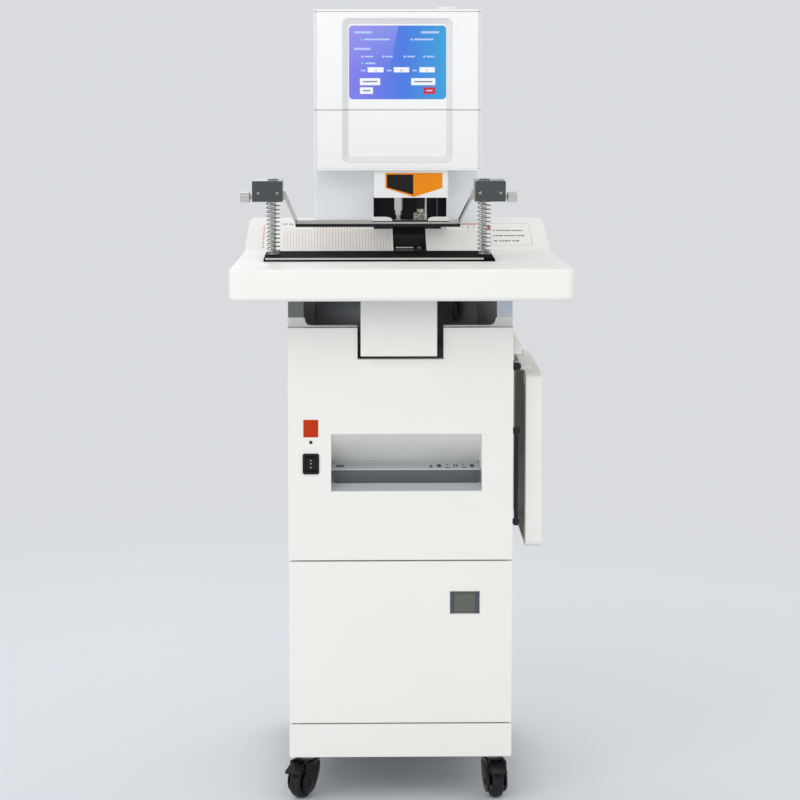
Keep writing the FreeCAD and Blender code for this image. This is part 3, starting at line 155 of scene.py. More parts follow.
def made_once(name, fill):
    """The named material. The first time, fill(tree, place, axes) adds its nodes and gives its shader."""
    if name in bpy.data.materials:
        return bpy.data.materials[name]
    material = bpy.data.materials.new(name)
    material.use_nodes = True
    tree = material.node_tree
    tree.nodes.clear()
    place = add(tree, "ShaderNodeTexCoord").outputs["Object"]
    axes = add(tree, "ShaderNodeSeparateXYZ", {"Vector": place}).outputs
    add(tree, "ShaderNodeOutputMaterial", {"Surface": fill(tree, place, axes)})
    return material


def grained(
    name,
    colour,
    roughness,
    grain,
    relief,
    tone=0.96,
    sheet=150 * MM,
    stretch=(1, 1, 1),
    detail=3.0,
    shine=0.5,
    cover=None,
    **shader_inputs,
):
    """A surface with a fine grain in relief, and a slow drift of tone and gloss across it.

    grain is the grain's size, relief its height, and sheet the size of the slow drift. With a cover, the
    gloss is even, and cover(tree, place, axes, skin) lays other colours over the surface's skin.
    """

    def fill(tree, place, axes):
        turned = add(tree, "ShaderNodeMapping", {"Vector": place, "Scale": stretch})
        fine = add(tree, "ShaderNodeTexNoise", {"Vector": turned, "Scale": 1 / grain, "Detail": detail})
        slow = add(tree, "ShaderNodeTexNoise", {"Vector": place, "Scale": 1 / sheet, "Detail": 2.0})
        tones = {0: slow, 6: opaque(colour), 7: opaque(colour, tone)}
        skin = add(tree, "ShaderNodeMix", tones, data_type="RGBA")
        gloss = roughness
        if cover:
            skin = cover(tree, place, axes, skin)
        else:
            ends = {"To Min": roughness - 0.05, "To Max": roughness + 0.05}
            gloss = add(tree, "ShaderNodeMapRange", {"Value": slow, **ends})
        bump = add(tree, "ShaderNodeBump", {"Height": fine, "Distance": relief})
        inputs = {"Base Color": skin, "Roughness": gloss, "Specular IOR Level": shine, "Normal": bump}
        return add(tree, "ShaderNodeBsdfPrincipled", {**inputs, **shader_inputs})

    return made_once(name, fill)


def coated(name, colour, tone, **more):
    # Powder-coated sheet steel: satin, with a faint orange peel, drawn at 3 mm. The real 1 mm doesn't show.
    return grained(name, colour, 0.42, 3 * MM, 0.02 * MM, tone=tone, **more)


def powder_coat():
    # The cabinet's own batch of powder: a warm white.
    return coated("powder_coated_steel", colours().body, 0.975)


def cool_coat():
    # The column's powder coat comes from another batch: a cooler white than the cabinet's.
    return coated("powder_coated_column", "eef1f6", 0.97)


def wall_coat(name, neck):
    """A side wall's powder coat, with the front flange of its neck painted in a given tone, as painted light
    and shade of the gap.
    """
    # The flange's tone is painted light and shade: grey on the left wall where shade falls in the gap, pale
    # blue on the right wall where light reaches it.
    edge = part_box("upper_front_panel")[1].z + 0.5 * MM
    skin_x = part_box("cabinet_right_wall")[1].x - 0.6 * MM
    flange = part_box("upper_front_panel")[0].y + 25 * MM

    def painted_gap_light(tree, place, axes, skin):
        high = add(tree, "ShaderNodeMath", {0: axes["Z"], 1: edge}, operation="GREATER_THAN")
        off_axis = add(tree, "ShaderNodeMath", {0: axes["X"]}, operation="ABSOLUTE")
        inner = add(tree, "ShaderNodeMath", {0: off_axis, 1: skin_x}, operation="LESS_THAN")
        near = add(tree, "ShaderNodeMath", {0: axes["Y"], 1: flange}, operation="LESS_THAN")
        above = add(tree, "ShaderNodeMath", {0: high, 1: inner}, operation="MULTIPLY")
        above = add(tree, "ShaderNodeMath", {0: above, 1: near}, operation="MULTIPLY")
        return add(tree, "ShaderNodeMix", {0: above, 6: skin, 7: opaque(neck)}, data_type="RGBA")

    return coated("powder_coated_wall_" + name, colours().body, 0.975, cover=painted_gap_light)


def moulded(name, colour, roughness, tone, **more):
    # Injection-moulded ABS: a spark-eroded grain softens its highlights.
    return grained(name, colour, roughness, 1.4 * MM, 0.02 * MM, tone=tone, IOR=1.53, **more)


def moulded_abs():
    # The plain mouldings: one warm white all over.
    return moulded("moulded_abs", colours().moulding, 0.45, 0.98)


def seamed_abs():
    """The head covers' ABS, with painted shade darkening the grooves between them and greying the screen
    field's bevels.
    """
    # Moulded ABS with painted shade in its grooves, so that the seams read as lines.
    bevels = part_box("head_lower_cover")[0].y + 2 * MM
    # Each seam has its height, half its width, and how dark it is.
    seams = (
        (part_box("head_upper_cover")[0].z - 0.5 * MM, 0.52 * MM, 1.0),
        (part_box("head_top_plate")[0].z + 0.2 * MM, 0.5 * MM, 0.5),
        (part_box("head_lower_cover")[0].z + 3.2 * MM, 0.35 * MM, 0.3),
    )

    def painted_seam_shade(tree, place, axes, skin):
        groove = 0.0
        for height, half, depth in seams:
            line = add(tree, "ShaderNodeMath", {0: axes["Z"], 1: height, 2: half}, operation="COMPARE")
            faint = add(tree, "ShaderNodeMath", {0: line, 1: depth}, operation="MULTIPLY")
            groove = add(tree, "ShaderNodeMath", {0: faint, 1: groove}, operation="MAXIMUM")
        # The bevels round the screen field are painted greyer, as painted shade.
        bevel = add(tree, "ShaderNodeMath", {0: axes["Y"], 1: bevels, 2: 1.8 * MM}, operation="COMPARE")
        greyer = {0: bevel, 6: skin, 7: opaque(colours().head, 0.82)}
        shaded_bevels = add(tree, "ShaderNodeMix", greyer, data_type="RGBA")
        return add(tree, "ShaderNodeMix", {0: groove, 6: shaded_bevels, 7: opaque("3a3c40")}, data_type="RGBA")

    return moulded("moulded_abs_seamed", colours().head, 0.4, 0.98, cover=painted_seam_shade)


def shelf_abs():
    """The side shelf's ABS: white outside, and painted a shade greyer inside its rim, as painted shade."""
    # Foamed ABS skinned white, with painted shade inside its rim.
    low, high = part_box("side_shelf")
    rim, leaf_height, past_opening = 3.1 * MM, 281 * MM, 20 * MM
    corner = Vector((high.x, high.y, low.z + leaf_height))
    centre = Vector((low.x - past_opening, (low.y + high.y) / 2, (low.z + corner.z) / 2))
    half = corner - centre - Vector((rim, rim, rim))

    def painted_hollow_shade(tree, place, axes, skin):
        off = add(tree, "ShaderNodeVectorMath", {0: place, 1: centre}, operation="SUBTRACT")
        size = add(tree, "ShaderNodeVectorMath", {0: off}, operation="ABSOLUTE")
        over = add(tree, "ShaderNodeVectorMath", {0: size, 1: half}, operation="SUBTRACT")
        sides = add(tree, "ShaderNodeSeparateXYZ", {"Vector": over}).outputs
        most = add(tree, "ShaderNodeMath", {0: sides["X"], 1: sides["Y"]}, operation="MAXIMUM")
        most = add(tree, "ShaderNodeMath", {0: most, 1: sides["Z"]}, operation="MAXIMUM")
        inside = add(tree, "ShaderNodeMath", {0: most, 1: 0.0}, operation="LESS_THAN")
        return add(tree, "ShaderNodeMix", {0: inside, 6: skin, 7: opaque("d6d8cf")}, data_type="RGBA")

    return moulded("moulded_abs_shelf", colours().moulding, 0.45, 0.97, sheet=120 * MM, cover=painted_hollow_shade)


def chute_abs():
    """Mouldings in one surface: the blue-grey chute with its throat darkened as painted shade, and the pale
    hood above it.
    """
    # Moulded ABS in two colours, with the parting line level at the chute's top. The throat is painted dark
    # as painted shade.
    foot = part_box("feed_recess")[0].z
    hood_foot, throat_top = foot + 61.2 * MM, foot + 53.8 * MM
    throat_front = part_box("upper_front_panel")[0].y + 37.2 * MM

    def hood_and_painted_throat_shade(tree, place, axes, skin):
        above = add(tree, "ShaderNodeMath", {0: axes["Z"], 1: hood_foot}, operation="GREATER_THAN")
        sunk = add(tree, "ShaderNodeMath", {0: axes["Z"], 1: throat_top}, operation="LESS_THAN")
        behind = add(tree, "ShaderNodeMath", {0: axes["Y"], 1: throat_front}, operation="GREATER_THAN")
        throat = add(tree, "ShaderNodeMath", {0: sunk, 1: behind}, operation="MULTIPLY")
        throat_shade = {0: throat, 6: skin, 7: opaque(colours().chute, 0.2)}
        lower = add(tree, "ShaderNodeMix", throat_shade, data_type="RGBA")
        return add(tree, "ShaderNodeMix", {0: above, 6: lower, 7: opaque("f6f5ef")}, data_type="RGBA")

    colour = colours().chute
    return moulded("moulded_abs_chute", colour, 0.42, 0.9, sheet=60 * MM, detail=2.0, cover=hood_and_painted_throat_shade)


def chute_bead():
    # The chute's own ABS, rubbed paler where paper slides over its edges.
    return moulded("moulded_abs_bead", "dfe3e6", 0.4, 0.95)


def anodised_block():
    # Hard-anodised aluminium, blasted first: a matt grey skin, with a clear seal that shines edge on.
    look = {"tone": 0.85, "Metallic": 0.35, "Coat Weight": 0.7, "Coat Roughness": 0.2}
    return grained("anodised_aluminium_grey", colours().block, 0.42, 1.1 * MM, 0.03 * MM, **look)


def black_plate():
    # Black-anodised plate: satin, and it turns grey where it catches the light.
    return grained("anodised_plate_black", colours().plate, 0.7, 1.2 * MM, 0.02 * MM, tone=0.7, shine=0.02)


def bright_nickel():
    # Bright nickel plate over ground steel: a clear mirror with a slight warmth.
    return grained("nickel_plate", "d9d8d4", 0.14, 6 * MM, 0.01 * MM, tone=0.9, Metallic=1.0)


def worn_nickel():
    # The same plate where fingers and paper dull it: greyer, and with a softer highlight.
    return grained("nickel_plate_worn", "8d8c88", 0.3, 4 * MM, 0.02 * MM, tone=0.8, Metallic=1.0)


def brushed_nickel():
    # Nickel plate brushed along the bar: its highlight is wide across and short along.
    look = {"tone": 0.84, "stretch": (0.05, 1, 1), "Metallic": 1.0}
    return grained("nickel_plate_brushed", "dcdcd8", 0.34, 1 * MM, 0.02 * MM, **look)


def knurled_nickel():
    """The knobs' plate, broken up by the knurl that fingers grip."""
    # Nickel plate over a diamond knurl about 1.3 mm across, painted lighter on each point and darker between
    # the points, as painted highlight and shade.

    def fill(tree, place, axes):
        knurl = {"Vector": place, "Scale": 1 / (1.3 * MM), "Randomness": 0.15}
        points = add(tree, "ShaderNodeTexVoronoi", knurl)
        bump = add(tree, "ShaderNodeBump", {"Height": points, "Distance": 0.3 * MM}, invert=True)
        # The knurl's points are painted lighter and its valleys darker, as painted highlight and shade.
        tones = {0: points, 6: opaque("f6f6f4"), 7: opaque("b4b4b2")}
        tone = add(tree, "ShaderNodeMix", tones, data_type="RGBA")
        inputs = {"Base Color": tone, "Roughness": 0.25, "Metallic": 1.0, "Normal": bump}
        return add(tree, "ShaderNodeBsdfPrincipled", inputs)

    return made_once("nickel_plate_knurled", fill)


def ram_steel():
    """The ram: blackened above, bare at the die, with its bright guide rod."""
    # Black oxide that stops at the die block, and mottled bare steel with a trace of oil below it.
    low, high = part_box("rivet_ram")
    die_top, rod_left = low.z + 25 * MM, high.x - 9.2 * MM

    def fill(tree, place, axes):
        oxide = add(tree, "ShaderNodeMath", {0: axes["Z"], 1: die_top}, operation="GREATER_THAN")
        rod = add(tree, "ShaderNodeMath", {0: axes["X"], 1: rod_left}, operation="GREATER_THAN")
        spots = add(tree, "ShaderNodeTexNoise", {"Vector": place, "Scale": 1 / (4 * MM), "Detail": 2.0})
        patches = add(tree, "ShaderNodeMapRange", {"Value": spots, "From Min": 0.4, "From Max": 0.6})
        mottle = {0: patches, 6: opaque("c9cdbd"), 7: opaque("5c6152")}
        bare = add(tree, "ShaderNodeMix", mottle, data_type="RGBA")
        dark = add(tree, "ShaderNodeMix", {0: oxide, 6: bare, 7: opaque("1d1e20")}, data_type="RGBA")
        whole = add(tree, "ShaderNodeMix", {0: rod, 6: dark, 7: opaque("d4d4cf")}, data_type="RGBA")
        bump = add(tree, "ShaderNodeBump", {"Height": spots, "Distance": 0.05 * MM})
        inputs = {"Base Color": whole, "Roughness": 0.32, "Metallic": 0.7, "Normal": bump}
        return add(tree, "ShaderNodeBsdfPrincipled", inputs)

    return made_once("ram_steel", fill)


def spring_steel():
    # Bright spring wire: one sharp line of light along each turn.
    return grained("spring_steel", "b4b5b6", 0.2, 3 * MM, 0.01 * MM, tone=0.8, Metallic=1.0)


def zinc_plate():
    # Clear-passivated zinc on pressed steel: a cool, cloudy grey.
    return grained("zinc_plated_steel", "a9adb0", 0.42, 9 * MM, 0.02 * MM, tone=0.82, Metallic=1.0)


def blackened_steel():
    # Black-zinc pressed steel: dark, with a cool sheen along its bends.
    return grained("black_zinc_steel", "3b3f45", 0.4, 5 * MM, 0.02 * MM, tone=0.8, Metallic=0.8)


def ground_steel():
    # Ground tool steel: fine lines along X widen the highlight across them.
    look = {"tone": 0.85, "stretch": (0.08, 1, 1), "Metallic": 1.0}
    return grained("ground_tool_steel", "9b9c9e", 0.3, 1.2 * MM, 0.02 * MM, **look)


def primed_steel():
    # Grey primer on structural steel inside the machine: dead matt.
    return grained("primed_steel", "5d6468", 0.6, 2 * MM, 0.03 * MM, tone=0.85)


def black_paint_and_painted_shade():
    # Black paint: the anvil's and the motor's own, and on the liners a black sheet that stands as painted
    # shade.
    return grained("black_painted_steel", "17191c", 0.5, 2 * MM, 0.02 * MM, tone=0.7)


def rubber_pad():
    # Nitrile rubber: matt black with a bloom of grey.
    return grained("nitrile_rubber", "161617", 0.7, 1 * MM, 0.03 * MM, tone=1.6)


def caster_nylon():
    # Glass-filled nylon with a glossy moulded skin: black with sharp highlights.
    return grained("nylon_black", "0d0e10", 0.2, 7 * MM, 0.04 * MM, tone=1.5, shine=0.3)


def tread_rubber():
    # Polyurethane tread: black, less glossy than the nylon, greyed by floor dust.
    return grained("polyurethane_tread", "141516", 0.5, 1.5 * MM, 0.04 * MM, tone=2.0, shine=0.3)


def bin_plastic():
    # Polypropylene bin: soft charcoal sheen.
    return grained("polypropylene_charcoal", "2b2d30", 0.5, 2 * MM, 0.03 * MM, tone=0.85)


def switch_plastic():
    # Polycarbonate switch: piano black.
    return grained("polycarbonate_black", "0d0e0f", 0.25, 4 * MM, 0.01 * MM, tone=1.4, shine=0.3)


def pull_metal():
    # Die-cast zinc pull in satin nickel: an olive grey, brushed across.
    look = {"tone": 0.88, "stretch": (0.1, 1, 1), "Metallic": 0.75}
    return grained("satin_nickel", PULL_GREY, 0.4, 1 * MM, 0.02 * MM, **look)


def pull_frame_metal():
    """The pull's frame: bluer ends, and the flap's tone painted above and below the flap, as painted light.
    """
    # Die-cast zinc under a dark nickel, painted olive grey across the flap's width as painted light on the
    # bands above and below the flap.
    low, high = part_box("pull_flap")
    middle, reach = (low.x + high.x) / 2, (high.x - low.x) / 2

    def fill(tree, place, axes):
        painted_light_band = add(tree, "ShaderNodeMath", {0: axes["X"], 1: middle, 2: reach}, operation="COMPARE")
        tones = {0: painted_light_band, 6: opaque("5d626b"), 7: opaque(PULL_GREY)}
        tone = add(tree, "ShaderNodeMix", tones, data_type="RGBA")
        grain = add(tree, "ShaderNodeTexNoise", {"Vector": place, "Scale": 1 / (1 * MM), "Detail": 3.0})
        bump = add(tree, "ShaderNodeBump", {"Height": grain, "Distance": 0.02 * MM})
        inputs = {"Base Color": tone, "Roughness": 0.34, "Metallic": 0.78, "Normal": bump}
        return add(tree, "ShaderNodeBsdfPrincipled", inputs)

    return made_once("dark_nickel", fill)


def cable_jacket():
    # PVC jacket: smooth grey with a soft sheen.
    return grained("pvc_jacket", "8f948f", 0.4, 3 * MM, 0.02 * MM, tone=0.9)


def nylon_white():
    # Cast nylon wear parts: milky white.
    return grained("cast_nylon", "e7e6df", 0.4, 2 * MM, 0.02 * MM, tone=0.95)


def ink(name, code):
    # Screen-printed ink: a thin, even film with slightly broken edges in its gloss.
    return grained("ink_" + name, code, 0.5, 1 * MM, 0.005 * MM, tone=0.92)


def printed_film(name, colour):
    # Polyester film printed on its back: strong colour under a thin, even gloss.
    return grained("polyester_film_" + name, colour, 0.4, 3 * MM, 0.01 * MM, tone=0.94, shine=0.2)


def lit_screen():
    """A backlit panel under glass: a violet to cyan sweep with one lighter facet at its upper left."""
    # Backlit liquid crystal under float glass: it gives off its own colour, and the glass adds a clear gloss.
    low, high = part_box("touch_screen")

    def fill(tree, place, axes):
        across = add(tree, "ShaderNodeMapRange", {"Value": axes["X"], "From Min": low.x, "From Max": high.x})
        rise = add(tree, "ShaderNodeMapRange", {"Value": axes["Z"], "From Min": low.z, "From Max": high.z})
        sweep = add(tree, "ShaderNodeValToRGB", {"Fac": across})
        ramp = sweep.color_ramp
        ramp.elements[0].color = opaque(colours().screen_left)
        ramp.elements[1].color = opaque(colours().screen_right)
        ramp.elements.new(0.55).color = opaque("4577e2")
        # The facet's right edge slants, and the facet fades towards its foot.
        edge = add(tree, "ShaderNodeMath", {0: rise, 1: 0.16, 2: 0.355}, operation="MULTIPLY_ADD")
        inside = add(tree, "ShaderNodeMath", {0: across, 1: edge}, operation="LESS_THAN")
        upwards = {"Value": rise, "From Min": 0.35, "From Max": 1.0, "To Max": 0.34}
        fade = add(tree, "ShaderNodeMapRange", upwards)
        facet = add(tree, "ShaderNodeMath", {0: inside, 1: fade}, operation="MULTIPLY")
        picture = add(tree, "ShaderNodeMix", {0: facet, 6: sweep, 7: opaque("c3b9f2")}, data_type="RGBA")
        darker = {0: 0.7, 6: picture, 7: opaque("000000")}
        unlit = add(tree, "ShaderNodeMix", darker, data_type="RGBA", blend_type="MULTIPLY")
        glow = {"Emission Color": picture, "Emission Strength": 0.69}
        return add(tree, "ShaderNodeBsdfPrincipled", {"Base Color": unlit, "Roughness": 0.12, **glow})

    return made_once("lit_display_glass", fill)


def screen_ink(name, code):
    """A mark on the lit picture, which shines as the picture does."""
    # Part of the backlit picture, so it gives off light too, in specks of a screen's dots.

    def fill(tree, place, axes):
        dots = add(tree, "ShaderNodeTexNoise", {"Vector": place, "Scale": 1 / (2 * MM)})
        tone = add(tree, "ShaderNodeMix", {0: dots, 6: opaque(code), 7: opaque(code, 0.94)}, data_type="RGBA")
        glass = {"Base Color": opaque(code, 0.25), "Roughness": 0.2}
        glow = {"Emission Color": tone, "Emission Strength": 0.75}
        return add(tree, "ShaderNodeBsdfPrincipled", {**glass, **glow})

    return made_once("display_" + name, fill)


# ---- Meshes --------------------------------------------------------------------------------------
def as_piece(name, mesh, body, materials=(), smooth_angle=35):
    """Makes a mesh a piece at the origin that rides on a body."""
    piece = bpy.data.objects.new(name, mesh)
    bpy.context.scene.collection.objects.link(piece)
    for material in materials:
        mesh.materials.append(material)
    mesh.shade_smooth()
    mesh.set_sharp_from_angle(angle=math.radians(smooth_angle))
    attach(piece, body)
    return piece


def fill_mesh(mesh, shape):
    """Writes a bmesh to a mesh, with its doubles merged and its faces outwards, and frees it."""
    bmesh.ops.remove_doubles(shape, verts=shape.verts, dist=0.001 * MM)
    bmesh.ops.recalc_face_normals(shape, faces=shape.faces)
    shape.to_mesh(mesh)
    shape.free()


def finish_piece(name, shape, body, materials, smooth_angle=35):
    """Turns a bmesh into a piece."""
    mesh = bpy.data.meshes.new(name)
    fill_mesh(mesh, shape)
    return as_piece(name, mesh, body, materials, smooth_angle)


def baked(source):
    """A new mesh of an object as its modifiers or its text leave it."""
    bpy.context.view_layer.update()
    return bpy.data.meshes.new_from_object(source.evaluated_get(bpy.context.evaluated_depsgraph_get()))


def loft(shape, rings, index=0, closed=False):
    """Skins rings of points one to the next, and caps both ends unless they close on themselves."""
    made = [[shape.verts.new(point) for point in ring] for ring in rings]
    pairs = list(zip(made, made[1:])) + ([(made[-1], made[0])] if closed else [])
    for near, far in pairs:
        for place in range(len(near)):
            after = (place + 1) % len(near)
            shape.faces.new((near[place], near[after], far[after], far[place])).material_index = index
    if not closed:
        for ring in (made[0], made[-1]):
            shape.faces.new(ring).material_index = index


def rounded_rectangle(width, height, radius, steps=4):
    """A rounded rectangle's outline about the origin."""
    points = []
    for corner, (side, rise) in enumerate(((1, 1), (-1, 1), (-1, -1), (1, -1))):
        centre = Vector((side * (width / 2 - radius), rise * (height / 2 - radius)))
        for step in range(steps + 1):
            angle = math.pi / 2 * (corner + step / steps)
            points.append(centre + radius * Vector((math.cos(angle), math.sin(angle))))
    return points


def slab(shape, outline, origin, directions, thickness, index=0, bevel=0.0):
    """A flat plate with a 2D outline, lying on a face, with an optional small chamfer round its front."""
    across, up = directions
    out = across.cross(up)
    levels = [(0.0, outline), (thickness, outline)]
    if bevel:
        middle = sum((Vector(point) for point in outline), Vector((0, 0))) / len(outline)
        arms = [Vector(point) - middle for point in outline]
        inner = [middle + arm * (1 - bevel / max(arm.length, bevel)) for arm in arms]
        levels = [(0.0, outline), (thickness - bevel, outline), (thickness, inner)]
    rings = [[origin + across * x + up * y + out * height for x, y in drawn] for height, drawn in levels]
    loft(shape, rings, index)


def lathe(shape, profile, origin, axis, steps, index=0, start=None, closed=False):
    """Turns a profile of (radius, height) about an axis. A radius of nothing closes an end.

    A closed profile comes back to its first point, and makes a ring with a hole.
    """
    side = (start or axis.orthogonal()).normalized()
    other = axis.cross(side)
    turns = [2 * math.pi * step / steps for step in range(steps)]
    spokes = [side * math.cos(turn) + other * math.sin(turn) for turn in turns]
    rings = []
    for radius, height in profile:
        rings.append([origin + axis * height + spoke * max(radius, 0.001 * MM) for spoke in spokes])
    loft(shape, rings, index, closed)


def paint(nodes, material):
    """Gives carried-over nodes, named in one string, their finish."""
    for node in nodes.split():
        for mesh_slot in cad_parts[node].material_slots:
            mesh_slot.material = material


def lettering(name, digits, tall, origin, directions, thickness):
    """Plain digits as a thin raised film."""
    text = bpy.data.curves.new(name, "FONT")
    text.body = digits
    text.size = tall
    text.align_x = "CENTER"
    text.extrude = thickness / 2
    text.resolution_u = 3
    holder = bpy.data.objects.new(name + "_text", text)
    bpy.context.scene.collection.objects.link(holder)
    mesh = baked(holder)
    bpy.data.objects.remove(holder)
    across, up = directions
    out = across.cross(up)
    turn = Matrix((across, up, out)).transposed().to_4x4()
    mesh.transform(Matrix.Translation(origin + out * thickness / 2) @ turn)
    mesh.materials.clear()
    return as_piece(name, mesh, MACHINE, [ink("black", "26262a")])


# ---- Geometry Nodes ------------------------------------------------------------------------------
def new_tree(name, inputs):
    """A node group that puts one shape on every point of a mesh, and the outputs of its Group Input.

    Its inputs are the shape's own, each a name with its type, and the turn and the material of the copies.
    """
    tree = bpy.data.node_groups.new(name, "GeometryNodeTree")
    tree.is_modifier = True
    tree.interface.new_socket("Geometry", in_out="OUTPUT", socket_type="NodeSocketGeometry")
    whole = {"Geometry": "Geometry", **inputs, "Turn": "Vector", "Material": "Material"}
    for label, kind in whole.items():
        tree.interface.new_socket(label, in_out="INPUT", socket_type="NodeSocket" + kind)
    return tree, tree.nodes.new("NodeGroupInput").outputs


def spread(tree, given, shape):
    """Ends a tree: its shape goes on every point, and the copies become real and take their material."""
    copies = {"Points": given["Geometry"], "Instance": shape, "Rotation": given["Turn"]}
    placed = add(tree, "GeometryNodeInstanceOnPoints", copies)
    real = add(tree, "GeometryNodeRealizeInstances", {"Geometry": placed})
    painted = add(tree, "GeometryNodeSetMaterial", {"Geometry": real, "Material": given["Material"]})
    add(tree, "NodeGroupOutput", {"Geometry": painted})
    return tree


def grow(name, tree, points, values, body, smooth_angle=35):
    """Runs a tree on a mesh of points and keeps the result as a plain piece."""
    mesh = bpy.data.meshes.new(name + "_points")
    mesh.from_pydata([tuple(point) for point in points], [], [])
    seed = bpy.data.objects.new(name, mesh)
    bpy.context.scene.collection.objects.link(seed)
    modifier = seed.modifiers.new(name, "NODES")
    modifier.node_group = tree
    for item in tree.interface.items_tree:
        if item.item_type == "SOCKET" and item.in_out == "INPUT" and item.name in values:
            modifier[item.identifier] = values[item.name]
    result = baked(seed)
    seed.modifiers.clear()
    bpy.data.objects.remove(seed)
    result.name = name
    shape = bmesh.new()
    shape.from_mesh(result)
    fill_mesh(result, shape)
    return as_piece(name, result, body, (), smooth_angle)


def screw_tree():
    """Pan-head screws with a cross recess, one on each point."""
    if "screws" in bpy.data.node_groups:
        return bpy.data.node_groups["screws"]
    tree, given = new_tree("screws", {"Head Radius": "Float", "Head Height": "Float"})
    radius, height = given["Head Radius"], given["Head Height"]
    outline = add(tree, "GeometryNodeCurvePrimitiveCircle", {"Resolution": 20, "Radius": radius})
    base = add(tree, "GeometryNodeFillCurve", {"Curve": outline})
    rim = add(tree, "GeometryNodeExtrudeMesh", {"Mesh": base, "Offset Scale": height}, mode="FACES")
    narrowed = {"Geometry": rim, "Selection": rim.outputs["Top"], "Scale": 0.72}
    dome = add(tree, "GeometryNodeScaleElements", narrowed)
    # The recess is two crossed bars, as shares of the head's radius and height.
    arm_length = add(tree, "ShaderNodeMath", {0: radius, 1: 0.95}, operation="MULTIPLY")
    arm_width = add(tree, "ShaderNodeMath", {0: radius, 1: 0.2}, operation="MULTIPLY")
    depth = add(tree, "ShaderNodeMath", {0: height, 1: 0.9}, operation="MULTIPLY")
    lifted = add(tree, "ShaderNodeCombineXYZ", {"Z": height})
    recess = add(tree, "GeometryNodeMeshBoolean", operation="UNION", solver="EXACT")
    for length, width in ((arm_length, arm_width), (arm_width, arm_length)):
        size = add(tree, "ShaderNodeCombineXYZ", {"X": length, "Y": width, "Z": depth})
        bar = add(tree, "GeometryNodeMeshCube", {"Size": size})
        arm = add(tree, "GeometryNodeTransform", {"Geometry": bar, "Translation": lifted})
        tree.links.new(arm.outputs["Geometry"], recess.inputs["Mesh 2"])
    cut = {"Mesh 1": dome, "Mesh 2": recess}
    head = add(tree, "GeometryNodeMeshBoolean", cut, operation="DIFFERENCE", solver="EXACT")
    return spread(tree, given, head)


def spring_tree():
    """Round-wire springs, one standing on each point, with closed ends."""
    sizes_of_one = {"Turns": "Float", "Coil Radius": "Float", "Wire Radius": "Float", "Length": "Float"}
    tree, given = new_tree("springs", sizes_of_one)
    radius = given["Coil Radius"]
    winding = {"Resolution": 24, "Rotations": given["Turns"], "Height": given["Length"]}
    coil = add(tree, "GeometryNodeCurveSpiral", {**winding, "Start Radius": radius, "End Radius": radius})
    section = add(tree, "GeometryNodeCurvePrimitiveCircle", {"Resolution": 8, "Radius": given["Wire Radius"]})
    wire = {"Curve": coil, "Profile Curve": section, "Fill Caps": True}
    return spread(tree, given, add(tree, "GeometryNodeCurveToMesh", wire))


def bar_tree():
    """Equal thin bars, one on each point, for the ruler's lines."""
    if "ruler_lines" in bpy.data.node_groups:
        return bpy.data.node_groups["ruler_lines"]
    tree, given = new_tree("ruler_lines", {"Size": "Vector"})
    return spread(tree, given, add(tree, "GeometryNodeMeshCube", {"Size": given["Size"]}))


# Turns that carry a screw or a line from facing up to facing each way.
FACING = {"front": (math.pi / 2, 0, 0), "back": (-math.pi / 2, 0, 0)}


def screws(name, points, facing, body, material, scale=1.0):
    values = {
        "Head Radius": sizes().screw_radius * scale,
        "Head Height": sizes().screw_height * scale,
        "Turn": FACING[facing],
        "Material": material,
    }
    return grow(name, screw_tree(), points, values, body, smooth_angle=30)


# ---- Finishes of the carried-over nodes ----------------------------------------------------------
class RIVETER_OT_finishes(bpy.types.Operator):
    """Give the machine's carried-over parts their real finishes"""

    bl_idname = "riveter.finishes"
    bl_label = "Finishes"

    def execute(self, context):
        groups = [
            (powder_coat(), "cabinet_rear_panel upper_front_panel plinth_panel lower_door chip_tray"),
            # The left wall's flange is painted grey as painted shade, the right wall's pale blue as painted
            # light.
            (wall_coat("left", "7b7e76"), "cabinet_left_wall"),
            (wall_coat("right", "d3dae4"), "cabinet_right_wall"),
            (cool_coat(), "column_shell column_rear_cover"),
            (moulded_abs(), "table_top tube_inlet"),
            (shelf_abs(), "side_shelf"),
            (seamed_abs(), "head_lower_cover head_upper_cover head_top_plate drill_housing"),
            (chute_abs(), "feed_recess"),
            (anodised_block(), "presser_blocks"),
            (black_plate(), "press_base_plate"),
            (bright_nickel(), "hollow_drill lower_dies guide_posts"),
            (knurled_nickel(), "presser_knobs"),
            (brushed_nickel(), "press_bar"),
            (zinc_plate(), "door_hardware shredder_shelf base_plate caster_mounts"),
            (blackened_steel(), "shelf_hinge_rail shelf_struts"),
            (ground_steel(), "cutter_shaft_front cutter_shaft_rear drill_carriage shredder_frame"),
            (ram_steel(), "rivet_ram"),
            (primed_steel(), "column_spine table_frame"),
            (black_paint_and_painted_shade(), "anvil_block shredder_motor"),
            (rubber_pad(), "press_pad"),
            (bin_plastic(), "waste_bin"),
            (switch_plastic(), "switch_body power_rocker power_inlet indicator_lamp"),
            (pull_frame_metal(), "pull_cup"),
            (pull_metal(), "pull_flap"),
            (lit_screen(), "touch_screen"),
        ]
        for material, nodes in groups:
            paint(nodes, material)
        return {"FINISHED"}


